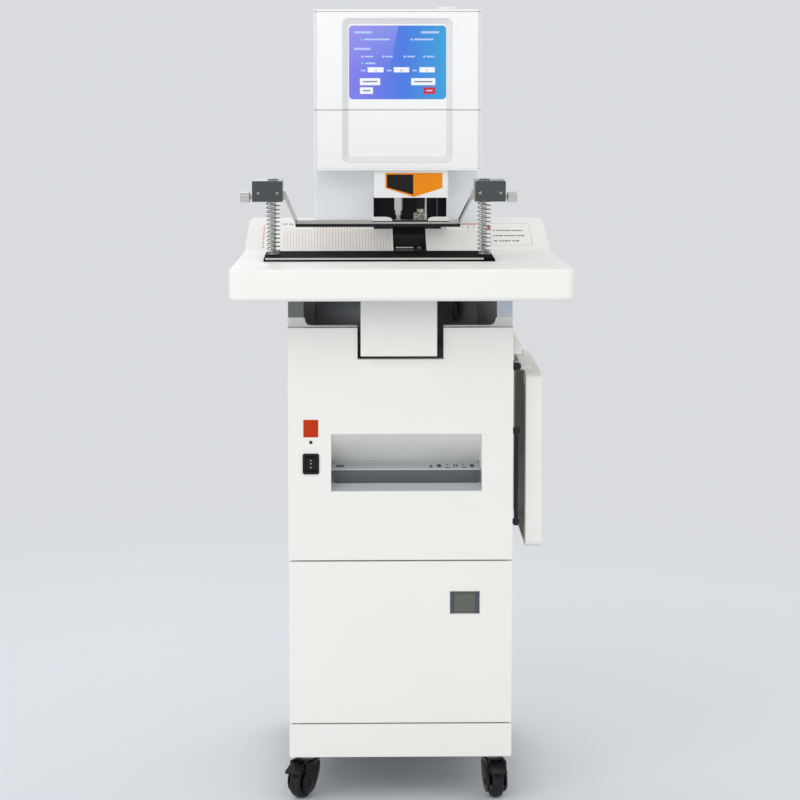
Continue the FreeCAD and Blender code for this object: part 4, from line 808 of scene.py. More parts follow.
# ---- Touch screen --------------------------------------------------------------------------------
class RIVETER_OT_screen_picture(bpy.types.Operator):
    """Draw the touch screen's generic page: rows, fields and keys"""

    bl_idname = "riveter.screen_picture"
    bl_label = "Screen picture"

    # Places are shares of the glass, from its upper left corner. A row of marks has its top and bottom, its
    # ink, and the left and right of each mark.
    rows = [
        (0.075, 0.105, 0, [(0.05, 0.24), (0.74, 0.93)]),
        (0.175, 0.198, 0, [(0.155, 0.42), (0.67, 0.87)]),
        (0.30, 0.33, 0, [(0.05, 0.22)]),
        (0.41, 0.43, 0, [(0.16, 0.25), (0.37, 0.45), (0.60, 0.68), (0.80, 0.88)]),
        (0.50, 0.522, 0, [(0.165, 0.27)]),
        (0.60, 0.62, 0, [(0.12, 0.17), (0.39, 0.44), (0.65, 0.70)]),
        (0.565, 0.635, 1, [(0.19, 0.355), (0.46, 0.62), (0.725, 0.885)]),
        (0.715, 0.81, 1, [(0.11, 0.32), (0.64, 0.89)]),
        (0.84, 0.93, 1, [(0.11, 0.245)]),
        (0.84, 0.93, 2, [(0.765, 0.89)]),
    ]
    # A row of round dots has its height, its ink, and the middle of each dot.
    dots = [
        (0.187, 3, [0.125]),
        (0.187, 0, [0.645]),
        (0.42, 0, [0.135, 0.35, 0.575, 0.775]),
        (0.51, 3, [0.135]),
    ]
    # Each number has its digits and place, and the line on each key its left, right, height and ink.
    numbers = [("12", 0.27, 0.60), ("30", 0.54, 0.60), ("4", 0.80, 0.60)]
    key_lines = [
        (0.14, 0.29, 0.762, 4),
        (0.14, 0.22, 0.885, 4),
        (0.67, 0.86, 0.762, 4),
        (0.795, 0.86, 0.885, 0),
    ]
    inks = {"pale": "b9cdfb", "field": "f6f8ff", "red": "cf1f35", "green": "58d8b0", "grey": "7f8694"}
    margin = 4.8 * MM
    dot_radius = 1.9 * MM
    key_line_height = 2.2 * MM
    digit_height, digit_drop = 4.6 * MM, 0.022

    def execute(self, context):
        low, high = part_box("touch_screen")
        left, top = low.x + self.margin, high.z - self.margin
        width, height = high.x - low.x - 2 * self.margin, high.z - low.z - 2 * self.margin
        shape = bmesh.new()

        def at(across, down):
            return Vector((left + across * width, low.y, top - down * height))

        for y0, y1, index, marks in self.rows:
            for x0, x1 in marks:
                corner = 0.7 * MM if index else 0.3 * MM
                outline = rounded_rectangle((x1 - x0) * width, (y1 - y0) * height, corner, 3)
                slab(shape, outline, at((x0 + x1) / 2, (y0 + y1) / 2), FRONT_FACE, FILM, index)
        dot = [(self.dot_radius, 0), (self.dot_radius, FILM)]
        for down, index, middles in self.dots:
            for across in middles:
                lathe(shape, dot, at(across, down), Vector((0, -1, 0)), 16, index)
        for x0, x1, down, index in self.key_lines:
            outline = rounded_rectangle((x1 - x0) * width, self.key_line_height, 0.3 * MM, 2)
            slab(shape, outline, at((x0 + x1) / 2, down), FRONT_FACE, 2 * FILM, index)
        finish_piece("screen_page", shape, MACHINE, [screen_ink(*pair) for pair in self.inks.items()])
        for count, (digits, across, down) in enumerate(self.numbers):
            foot = at(across, down + self.digit_drop)
            lettering("screen_number_" + str(count), digits, self.digit_height, foot, FRONT_FACE, 2 * FILM)
        return {"FINISHED"}


class RIVETER_OT_field_outline(bpy.types.Operator):
    """Line the edge of the dished field round the screen"""

    bl_idname = "riveter.field_outline"
    bl_label = "Field outline"

    # The field's left, right, lower and upper edges, and its corner.
    field = (-90 * MM, 89 * MM, 1012 * MM, 1247 * MM)
    corner = 9 * MM
    # The line's section: how far each edge of it lies outside the field, and how far in front of the cover.
    section = ((0.9 * MM, -0.3 * MM), (0.9 * MM, 0.1 * MM), (0.05 * MM, 0.1 * MM), (0.05 * MM, -0.3 * MM))

    def execute(self, context):
        left, right, low, high = self.field
        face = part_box("head_lower_cover")[0].y
        middle = Vector(((left + right) / 2, face, (low + high) / 2))
        rings = []
        for out, lift in self.section:
            outline = rounded_rectangle(right - left + 2 * out, high - low + 2 * out, self.corner + out, 6)
            rings.append([middle + RIGHT * x + UP * z - Vector((0, lift, 0)) for x, z in outline])
        shape = bmesh.new()
        loft(shape, rings, closed=True)
        finish_piece("field_outline", shape, MACHINE, [ink("mist", "c3c3c1")])
        return {"FINISHED"}


# ---- Deck ----------------------------------------------------------------------------------------
def deck_plane():
    """Where the deck starts to rise, its slope, and the directions along and up it."""
    low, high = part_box("table_top")
    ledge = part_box("press_base_plate")[0].z
    flat_depth = 355 * MM
    start_y = low.y + flat_depth
    rise, run = high.z - ledge, high.y - start_y
    slope = math.atan2(rise, run)
    return Vector((0, start_y, ledge)), slope, (RIGHT, Vector((0, math.cos(slope), math.sin(slope))))


def on_deck(x, depth, lift=0.0):
    """A point on the rising deck, by its X and its Y, with a lift off the surface."""
    origin, slope, (across, up) = deck_plane()
    along = (depth - origin.y) / math.cos(slope)
    return origin + across * x + up * along + across.cross(up) * lift


class RIVETER_OT_back_fence(bpy.types.Operator):
    """Build the white fence that a stack of paper is pushed against, beside the tools"""

    bl_idname = "riveter.back_fence"
    bl_label = "Back fence"

    thick = 4.6 * MM
    top = 905 * MM
    soft = 1.2 * MM

    def execute(self, context):
        column_low, column_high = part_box("column_shell")
        housing_low, housing_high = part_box("drill_housing")
        front, back = column_low.y - self.thick, column_low.y - 0.05 * MM
        profile = [
            (front, on_deck(0, front).z),
            (front, self.top - self.soft),
            (front + self.soft * 0.3, self.top - self.soft * 0.3),
            (front + self.soft, self.top),
            (back, self.top),
            (back, on_deck(0, back).z),
        ]
        shape = bmesh.new()
        for left, right in ((column_low.x, housing_low.x), (housing_high.x, column_high.x)):
            loft(shape, [[Vector((x, y, z)) for y, z in profile] for x in (left, right)])
        finish_piece("back_fence", shape, MACHINE, [moulded_abs()])
        return {"FINISHED"}


class RIVETER_OT_bar_fittings(bpy.types.Operator):
    """Fit the press bar's two white shoes, a black band under them as painted shadow, the black relief
    between them and the lip of its pad
    """

    bl_idname = "riveter.bar_fittings"
    bl_label = "Bar fittings"

    # In millimetres. Each shoe has its outer end and its end beside the tools. Each level of a shoe has its
    # height, how far the end beside the tools slants back there, and how far the other sides come in.
    shoes = ((-43, -9.5), (84.5, 49.5))
    levels = ((0.0, 0, 0.0), (2.2, 1.2, 0.0), (3.9, 4.5, 0.3), (4.8, 9.5, 1.6))
    # Each band of black has its left and right, and its foot and top above the pad. The first, under the
    # shoes, is a painted shadow line.
    bands = ((-43, 84.5, 4.0, 5.5), (-9.3, 49.3, 5.5, 7.0))
    shoe_foot = 7

    def execute(self, context):
        pad_low, pad_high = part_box("press_pad")
        front, back = pad_low.y, pad_high.y
        top = pad_high.z + self.shoe_foot * MM
        white = bmesh.new()
        for outer, inner in self.shoes:
            way = math.copysign(1, inner - outer)
            rings = []
            for rise, slant, inset in self.levels:
                x0, x1 = outer + way * inset, inner - way * slant
                y0, y1 = front + inset * MM, back - inset * MM
                corners = [(x0, y0), (x1, y0), (x1, y1), (x0, y1)]
                rings.append([Vector((x * MM, y, top + rise * MM)) for x, y in corners])
            loft(white, rings)
            middle = Vector(((outer + inner) / 2 * MM, front, top - 0.7 * MM))
            outline = rounded_rectangle(abs(inner - outer) * MM, 1.6 * MM, 0.2 * MM, 2)
            slab(white, outline, middle, FRONT_FACE, 0.5 * MM)
        finish_piece("bar_shoes", white, "presser", [nylon_white()])
        black = bmesh.new()
        for left, right, foot, head in self.bands:
            middle = Vector(((left + right) / 2 * MM, front, pad_high.z + (foot + head) / 2 * MM))
            outline = rounded_rectangle((right - left) * MM, (head - foot) * MM, 0.1 * MM, 2)
            slab(black, outline, middle, FRONT_FACE, 0.3 * MM)
        middle = Vector(((pad_low.x + pad_high.x) / 2, front, pad_high.z - 0.6 * MM))
        lip = rounded_rectangle(pad_high.x - pad_low.x, 3.0 * MM, 0.4 * MM, 2)
        slab(black, lip, middle, FRONT_FACE, 0.4 * MM, 0, 0.15 * MM)
        finish_piece("bar_relief_and_shadow_line", black, "presser", [rubber_pad()])
        return {"FINISHED"}


class RIVETER_OT_tool_liner(bpy.types.Operator):
    """Close the back of the tool space with a folded black sheet, as painted shade, and its light guide"""

    bl_idname = "riveter.tool_liner"
    bl_label = "Tool liner"

    # The sheet stands in front of the spine, and its two wings come forward past the housing's sides.
    spine_front, foot, past_housing = 205 * MM, 897 * MM, 4 * MM
    wing, fold = 9 * MM, 1.2 * MM
    guide_x, guide_width = 70.3 * MM, 2.4 * MM

    def execute(self, context):
        low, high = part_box("drill_housing")
        shape = bmesh.new()
        fold = self.fold
        x0, x1 = low.x - self.past_housing, high.x + self.past_housing
        z0, z1 = self.foot, high.z - 2 * MM
        back, front = self.spine_front - 0.1 * MM, self.spine_front - self.wing
        plan = [
            (x0, front),
            (x0, back),
            (x1, back),
            (x1, front),
            (x1 - fold, front),
            (x1 - fold, back - fold),
            (x0 + fold, back - fold),
            (x0 + fold, front),
        ]
        loft(shape, [[Vector((x, y, z)) for x, y in plan] for z in (z0, z1)])
        guide = rounded_rectangle(self.guide_width, z1 - z0 - 2 * MM, 0.5 * MM, 2)
        slab(shape, guide, Vector((self.guide_x, back - fold, (z0 + z1) / 2)), FRONT_FACE, 0.8 * MM, 1)
        finish_piece("tool_shade_liner", shape, MACHINE, [black_paint_and_painted_shade(), ink("lavender", "8e8bc0")])
        return {"FINISHED"}


class RIVETER_OT_well_liner(bpy.types.Operator):
    """Line the well round the dies in black as painted shade, up to the tool space"""

    bl_idname = "riveter.well_liner"
    bl_label = "Well liner"

    # The well's back wall is at this Y, and the lip goes this far down it.
    well_back = 119.9 * MM
    lip = 8 * MM
    sheet = 0.5 * MM

    def execute(self, context):
        well_low, well_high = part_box("anvil_block")
        left, right = well_low.x - 0.45 * MM, well_high.x + 0.45 * MM
        back, sheet = self.well_back, self.sheet
        start = deck_plane()[0]
        shape = bmesh.new()
        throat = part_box("column_shell")[0].y + 4 * MM
        # The apron lies on the deck behind the well, and its lip goes down the well's back wall.
        profile = [
            on_deck(0, throat, sheet),
            on_deck(0, back, sheet),
            on_deck(0, back, sheet) - Vector((0, sheet, 0)),
            Vector((0, back - sheet, start.z - self.lip)),
            Vector((0, back, start.z - self.lip)),
            on_deck(0, back),
            on_deck(0, throat),
        ]
        loft(shape, [[point + RIGHT * x for point in profile] for x in (left, right)])
        for wall, way in ((left, 1), (right, -1)):
            side = [
                start,
                Vector((0, back, start.z)),
                on_deck(0, back, -0.1 * MM),
                on_deck(0, start.y + 1 * MM, -0.1 * MM),
            ]
            loft(shape, [[point + RIGHT * x for point in side] for x in (wall, wall + way * sheet)])
        finish_piece("well_shade_liner", shape, MACHINE, [black_paint_and_painted_shade()])
        return {"FINISHED"}


def fence_front():
    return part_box("column_shell")[0].y - RIVETER_OT_back_fence.thick


class RIVETER_OT_deck_ruler(bpy.types.Operator):
    """Print the ruler's fine lines and its digits on the rising deck and up the fence"""

    bl_idname = "riveter.deck_ruler"
    bl_label = "Deck ruler"

    # The lines come by turns in two inks, and fill this stretch left of the well.
    inks = (("rose", "e5a9a6"), ("sage", "b4cfb8"))
    stretch = (-182 * MM, -7 * MM)
    fence_gap = 4 * MM
    # The digits stand left of the column, at this Y.
    digit_gap, digit_pitch, digit_depth, digit_height = 40 * MM, 10.5 * MM, 160 * MM, 9 * MM

    def execute(self, context):
        origin, slope, directions = deck_plane()
        well_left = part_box("anvil_block")[0].x
        column_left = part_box("column_shell")[0].x
        housing_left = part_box("drill_housing")[0].x
        fence = fence_front()
        length = (fence - origin.y) / math.cos(slope)
        foot = on_deck(0, fence).z
        tall = RIVETER_OT_back_fence.top - self.fence_gap - foot
        wide, pitch = sizes().line_width, sizes().line_pitch
        first, last = (well_left + end for end in self.stretch)
        count = int((last - first) / pitch)
        for turn, (name, code) in enumerate(self.inks):
            lines = [first + line * pitch for line in range(turn, count + 1, 2)]
            points = [on_deck(x, (origin.y + fence) / 2, FILM / 2) for x in lines]
            values = {"Size": (wide, length - 1 * MM, FILM), "Turn": (slope, 0, 0)}
            values["Material"] = ink(name, code)
            grow("ruler_" + name, bar_tree(), points, values, MACHINE)
            rises = [x for x in lines if column_left + 1 * MM < x < housing_left - 1 * MM]
            points = [Vector((x, fence - FILM / 2, foot + tall / 2)) for x in rises]
            values = {**values, "Size": (wide, tall, FILM), "Turn": FACING["front"]}
            grow("fence_" + name, bar_tree(), points, values, MACHINE)
        for place, digits in enumerate(("36", "35")):
            foot = on_deck(column_left - self.digit_gap - place * self.digit_pitch, self.digit_depth)
            lettering("ruler_number_" + str(place), digits, self.digit_height, foot, directions, FILM)
        return {"FINISHED"}


class RIVETER_OT_deck_marks(bpy.types.Operator):
    """Print the red side scale, the red line with its digits, and the plain table of bars on the deck"""

    bl_idname = "riveter.deck_marks"
    bl_label = "Deck marks"

    # In millimetres on the deck. The scale at the left has its X, its first Y, and its marks' pitch and
    # count.
    scale_x, scale_y, scale_pitch, scale_marks = -224, 68, 6.4, 15
    # The table's rows have their left and right ends, the first one's Y and their pitch. Then come the
    # widths of its bars.
    rows_left, rows_right, rows_y, rows_pitch = 162, 213, 136, 21
    bar_widths = (3.4, 5.2, 2.8, 4.4, 6.0, 3.8)
    # The dashed outline round the table: its left and right, its front and back, and its red corner mark.
    outline_x = (158, 225)
    outline_y = (77, 165)
    corner_mark = (155, 150, 8, 17)
    # The number and pitch of its dashes, along X and along Y.
    dashes_x, dashes_y = (16, 4.2), (19, 4.7)
    # The red line on the fence and its digits.
    line_middle, line_drop = 121 * MM, 2.6 * MM
    first_digit, digit_pitch, digit_drop, digit_height = 112 * MM, 9 * MM, 7.4 * MM, 5.6 * MM

    def execute(self, context):
        red, grey, rose = ink("red", "d5382f"), ink("graphite", "4c4c52"), ink("rose", "e5a9a6")
        directions = deck_plane()[2]
        shape = bmesh.new()

        def bar(x, y, wide, long, index):
            """A printed bar on the deck, given in millimetres by its middle."""
            outline = rounded_rectangle(wide * MM, long * MM, 0.3 * MM, 2)
            slab(shape, outline, on_deck(x * MM, y * MM), directions, FILM, index)

        for step in range(self.scale_marks):
            # Every third mark is a wide one.
            shift, wide = (0.5, 2.0) if step % 3 else (0, 3.2)
            bar(self.scale_x + shift, self.scale_y + step * self.scale_pitch, wide, 3.0, 0)
        for row in range(3):
            x, place = self.rows_left, row * 2
            while x < self.rows_right - 4 * row:
                wide = self.bar_widths[place % len(self.bar_widths)]
                bar(x + wide / 2, self.rows_y - row * self.rows_pitch, wide, 4.2, 1)
                x += wide + (1.3 if place % 4 else 2.8)
                place += 1
        count, pitch = self.dashes_x
        for y in self.outline_y:
            for step in range(count):
                bar(self.outline_x[0] + 2 + step * pitch, y, 2.8, 1.4, 2)
        count, pitch = self.dashes_y
        for x in self.outline_x:
            for step in range(count):
                bar(x, self.outline_y[0] + 1.5 + step * pitch, 1.2, 3.2, 2)
        bar(*self.corner_mark, 0)
        finish_piece("deck_marks", shape, MACHINE, [red, grey, rose])
        fence = fence_front()
        shape = bmesh.new()
        z = RIVETER_OT_back_fence.top - self.line_drop
        line = rounded_rectangle(30 * MM, 1.6 * MM, 0.4 * MM, 2)
        slab(shape, line, Vector((self.line_middle, fence, z)), FRONT_FACE, FILM)
        finish_piece("fence_line", shape, MACHINE, [red])
        for place, digit in enumerate("123"):
            foot = Vector((self.first_digit + place * self.digit_pitch, fence, z - self.digit_drop))
            lettering("fence_number_" + digit, digit, self.digit_height, foot, FRONT_FACE, FILM)
        return {"FINISHED"}


# ---- Presser -------------------------------------------------------------------------------------
class RIVETER_OT_presser(bpy.types.Operator):
    """Fit the presser's springs, posts, screws, post bushes and the bright strip on its base plate"""

    bl_idname = "riveter.presser"
    bl_label = "Presser"

    collar_radius = 10 * MM
    travel = 32 * MM
    block_width = 48.5 * MM

    def execute(self, context):
        low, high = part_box("guide_posts")
        middle_y = (low.y + high.y) / 2
        posts = [low.x + self.collar_radius, high.x - self.collar_radius]
        self.springs(posts, middle_y)
        self.posts(posts, middle_y)
        self.block_screws()
        self.post_bushes(posts, middle_y)
        self.edge_strip()
        return {"FINISHED"}

    def springs(self, posts, middle_y):
        """Round-wire springs, one round each post."""
        low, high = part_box("return_springs")
        wire, full = sizes().coil_wire, high.z - low.z
        values = {
            "Turns": float(sizes().coil_turns),
            "Coil Radius": sizes().coil_radius,
            "Wire Radius": wire,
            "Length": full - 2 * wire,
            "Material": spring_steel(),
        }
        feet = [Vector((x, middle_y, low.z + wire)) for x in posts]
        coil = grow("presser_springs", spring_tree(), feet, values, MACHINE, smooth_angle=80)
        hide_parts("return_springs")
        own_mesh(coil)

    def posts(self, posts, middle_y):
        """Posts with the fine rings that a grinding wheel leaves, a foot collar and a low domed end."""
        low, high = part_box("guide_posts")
        # The profile is in millimetres. The ground rings start above the collar and stop below the domed end.
        r, pitch, groove, collar_top, first_ring, end_gap = 4.5, 2.6, 0.16, 5.0, 6.2, 3.2
        # The posts end a little below the top of the ones they stand for.
        shorter = 4.5
        tall = (high.z - low.z) / MM - shorter
        profile = [(0, 0), (10.0, 0), (10.0, 0.8), (8.7, 4.6), (8.2, collar_top), (r, collar_top)]
        height = first_ring
        while height < tall - end_gap:
            profile += [(r, height), (r - groove, height + 0.5)]
            profile += [(r - groove, height + 1.1), (r, height + 1.6)]
            height += pitch
        profile += [(r, tall - 1.4), (r - 0.6, tall - 0.5), (r - 1.8, tall), (0, tall)]
        profile = [(near * MM, rise * MM) for near, rise in profile]
        shape = bmesh.new()
        for x in posts:
            lathe(shape, profile, Vector((x, middle_y, low.z)), UP, 28)
        for face in shape.faces:
            on_collar = face.calc_center_median().z < low.z + (collar_top + 0.1) * MM
            face.material_index = 1 if on_collar else 0
        pair = finish_piece("ringed_posts", shape, MACHINE, [bright_nickel(), worn_nickel()], 40)
        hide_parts("guide_posts")

    def block_screws(self):
        """Two screws in the front of each block, at shares of its width and height."""
        low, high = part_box("presser_blocks")
        places = [low.x + self.block_width * share for share in (0.2, 0.82)]
        places += [high.x - self.block_width * share for share in (0.84, 0.16)]
        z = low.z + (high.z - low.z) * 0.42
        points = [Vector((x, low.y, z)) for x in places]
        screws("block_screws", points, "front", "presser", bright_nickel(), 0.85)

    def post_bushes(self, posts, middle_y):
        """A chamfered collar on top of each block, round its post."""
        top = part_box("presser_blocks")[1].z
        bore, rim, chamfer, tall = 5.2 * MM, 9 * MM, 8 * MM, 2 * MM
        profile = [(bore, 0), (rim, 0), (rim, 1.2 * MM), (chamfer, tall), (bore, tall)]
        shape = bmesh.new()
        for x in posts:
            lathe(shape, profile, Vector((x, middle_y, top)), UP, 24, start=RIGHT, closed=True)
        finish_piece("post_bushes", shape, "presser", [worn_nickel()])

    def edge_strip(self):
        """The bright strip along the upper edge of the base plate's front."""
        low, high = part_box("press_base_plate")
        left, right, wide, drop = low.x + 3 * MM, high.x - 18 * MM, 2.8 * MM, 1.6 * MM
        shape = bmesh.new()
        outline = rounded_rectangle(right - left, wide, 0.6 * MM, 2)
        origin = Vector(((left + right) / 2, low.y, high.z - drop))
        slab(shape, outline, origin, FRONT_FACE, 0.6 * MM, 0, 0.2 * MM)
        finish_piece("plate_strip", shape, MACHINE, [bright_nickel()])


# ---- Front of the cabinet ------------------------------------------------------------------------
class RIVETER_OT_coloured_plates(bpy.types.Operator):
    """Fit the plain coloured plates on the drill housing and above the switch"""

    bl_idname = "riveter.coloured_plates"
    bl_label = "Coloured plates"

    # The housing's plate is a pointed shield: half its width, and how deep its point and its shoulders are.
    half, tall, shoulder = 47.3 * MM, 39.6 * MM, 24.8 * MM
    # Its middle is at this share of the housing's width, and its dark left part ends a seam short of it.
    middle_share = 0.537
    top_gap, edge, seam = 5 * MM, 2.6 * MM, 1 * MM
    # The plate above the switch: its width and height, and how far its middle is above the small lamp.
    switch_plate = (23.5 * MM, 28 * MM)
    switch_rise = 19.5 * MM

    def execute(self, context):
        low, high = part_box("drill_housing")
        middle_x = low.x + (high.x - low.x) * self.middle_share
        origin = Vector((middle_x, low.y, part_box("head_lower_cover")[0].z - self.top_gap))
        half, tall, shoulder, edge = self.half, self.tall, self.shoulder, self.edge
        whole = [(-half, 0), (-half, -shoulder), (0, -tall), (half, -shoulder), (half, 0)]
        dark = [
            (-half + edge, -edge),
            (-half + edge, -shoulder + edge * 0.4),
            (-self.seam, -tall + edge * 1.4),
            (-self.seam, -edge),
        ]
        shape = bmesh.new()
        slab(shape, whole, origin, FRONT_FACE, 0.5 * MM, 0)
        slab(shape, dark, origin, FRONT_FACE, 0.65 * MM, 1)
        films = [printed_film("orange", colours().signal), printed_film("charcoal", "201e1e")]
        finish_piece("housing_plate", shape, MACHINE, films)
        lamp_low, lamp_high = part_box("indicator_lamp")
        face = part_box("upper_front_panel")[0].y
        place = Vector(((lamp_low.x + lamp_high.x) / 2, face, lamp_high.z + self.switch_rise))
        shape = bmesh.new()
        slab(shape, rounded_rectangle(*self.switch_plate, 0.8 * MM, 2), place, FRONT_FACE, 0.4 * MM, 0)
        finish_piece("switch_plate", shape, MACHINE, [printed_film("red", colours().small_plate)])
        return {"FINISHED"}


class RIVETER_OT_switch_marks(bpy.types.Operator):
    """Print the plain on and off marks on the rocker"""

    bl_idname = "riveter.switch_marks"
    bl_label = "Switch marks"

    # The marks' heights above the rocker's middle.
    rises = (5.4 * MM, 0.6 * MM, -5.4 * MM)

    def execute(self, context):
        low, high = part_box("power_rocker")
        middle = (low + high) / 2
        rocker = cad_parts["power_rocker"]
        shape = bmesh.new()
        for rise in self.rises:
            # Each mark lies on the flat of the rocker that is behind it.
            start = Vector((middle.x, low.y - 10 * MM, middle.z + rise))
            hit, place, normal, _ = rocker.ray_cast(start, Vector((0, 1, 0)))
            if not hit:
                raise RuntimeError("The rocker isn't where its mark goes")
            outline = rounded_rectangle(2.2 * MM, 2.2 * MM, 0.9 * MM, 3)
            slab(shape, outline, place, (RIGHT, normal.cross(RIGHT)), 0.15 * MM)
        finish_piece("rocker_mark", shape, "rocker", [ink("pale_grey", "a9a9a6")])
        return {"FINISHED"}


class RIVETER_OT_feed_marks(bpy.types.Operator):
    """Print the row of small plain marks on the strip above the shredder's throat, and bead the strip"""

    bl_idname = "riveter.feed_marks"
    bl_label = "Feed marks"

    # The strip's front and back edges: how far each is behind the cabinet's front, and its height.
    strip_front = (50 * MM, 528 * MM)
    strip_back = (92 * MM, 534 * MM)
    # The window's left and right, and the marks' first X and pitch.
    window = (-108 * MM, 127 * MM)
    first_mark, mark_pitch = 50.5 * MM, 13.2 * MM
    # The row starts with an arrow. Each oblong has its place in the row, how far it is off that place, its
    # share of the strip's depth, and its width and length in millimetres.
    oblongs = (
        (1, 0, 0.5, 6.5, 16),
        (2, 0, 0.3, 7.5, 4),
        (2, 0, 0.62, 3.5, 4),
        (3, -2, 0.5, 2.2, 16),
        (3, 2, 0.5, 2.2, 16),
        (4, 0, 0.3, 7.5, 4),
        (4, 0, 0.62, 3.5, 4),
        (5, 0, 0.5, 6.5, 16),
    )
    arrow = [(-3 * MM, -8 * MM), (3 * MM, -8 * MM), (0, 8 * MM)]
    # One more mark stands near the window's left: how far from it, its width and its length.
    left_mark = (12 * MM, 13 * MM, 9 * MM)

    def execute(self, context):
        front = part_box("upper_front_panel")[0].y
        near, far = (Vector((0, front + y, z)) for y, z in (self.strip_front, self.strip_back))
        directions = (RIGHT, (far - near).normalized())
        shape = bmesh.new()

        def mark(outline, x, share):
            slab(shape, outline, near.lerp(far, share) + RIGHT * x, directions, FILM)

        mark(self.arrow, self.first_mark, 0.5)
        for place, off, share, wide, long in self.oblongs:
            outline = rounded_rectangle(wide * MM, long * MM, 0.8 * MM, 3)
            mark(outline, self.first_mark + place * self.mark_pitch + off * MM, share)
        off, wide, long = self.left_mark
        mark(rounded_rectangle(wide, long, 0.8 * MM, 3), self.window[0] + off, 0.5)
        finish_piece("feed_marks", shape, MACHINE, [ink("slate", "3e454f")])
        self.beads(near, far, directions)
        return {"FINISHED"}

    def beads(self, near, far, directions):
        """Two rounded beads, along the front and the back of the strip."""
        left, right = self.window
        shape = bmesh.new()
        for share, wide in ((0.04, 2.6 * MM), (0.95, 3.4 * MM)):
            middle = near.lerp(far, share) + RIGHT * ((left + right) / 2)
            outline = rounded_rectangle(right - left, wide, 0.5 * MM, 2)
            slab(shape, outline, middle, directions, 0.7 * MM, 0, 0.25 * MM)
        finish_piece("feed_beads", shape, MACHINE, [chute_bead()])


class RIVETER_OT_hinge_guard(bpy.types.Operator):
    """Fix the sloping strip that keeps fingers out of the side shelf's hinge"""

    bl_idname = "riveter.hinge_guard"
    bl_label = "Hinge guard"

    def execute(self, context):
        low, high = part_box("side_shelf")
        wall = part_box("cabinet_right_wall")[1].x
        foot = high.z + 20 * MM
        # The section and its chamfer in millimetres, out from the wall and up from the strip's foot.
        profile = [(0, 0), (15.5, 0), (16.2, 0.8), (16.2, 13), (15.4, 15), (1.0, 33), (0, 33.4)]
        soft = 0.7
        shape = bmesh.new()
        rings = []
        for y, inset in ((low.y, soft), (low.y + soft * MM, 0), (high.y - soft * MM, 0), (high.y, soft)):
            section = [(max(0, x - inset) * MM, (z - inset) * MM) for x, z in profile]
            rings.append([Vector((wall + out, y, foot + rise)) for out, rise in section])
        loft(shape, rings)
        finish_piece("hinge_guard", shape, MACHINE, [powder_coat()])
        return {"FINISHED"}


class RIVETER_OT_rear_screws(bpy.types.Operator):
    """Screw the rear panel and the head covers on from behind"""

    bl_idname = "riveter.rear_screws"
    bl_label = "Rear screws"

    rows = 5
    panel_side, panel_end = 11 * MM, 25 * MM
    cover_side, cover_foot = 17 * MM, 15 * MM

    def execute(self, context):
        low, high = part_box("cabinet_rear_panel")
        points = []
        for row in range(self.rows):
            span = high.z - low.z - 2 * self.panel_end
            z = low.z + self.panel_end + span * row / (self.rows - 1)
            points += [Vector((x, high.y, z)) for x in (low.x + self.panel_side, high.x - self.panel_side)]
        for cover in ("head_lower_cover", "head_upper_cover"):
            low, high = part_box(cover)
            sides = (low.x + self.cover_side, high.x - self.cover_side)
            points += [Vector((x, high.y, low.z + self.cover_foot)) for x in sides]
        screws("rear_screws", points, "back", MACHINE, zinc_plate())
        return {"FINISHED"}


# ---- Casters -------------------------------------------------------------------------------------
def soften(node, width, segments):
    """Rounds the sharp edges of a carried-over node a little, so that they catch the light."""
    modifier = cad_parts[node].modifiers.new("soft edges", "BEVEL")
    modifier.width = width
    modifier.segments = segments
    modifier.limit_method = "ANGLE"
    modifier.angle_limit = math.radians(40)
    modifier.use_clamp_overlap = True


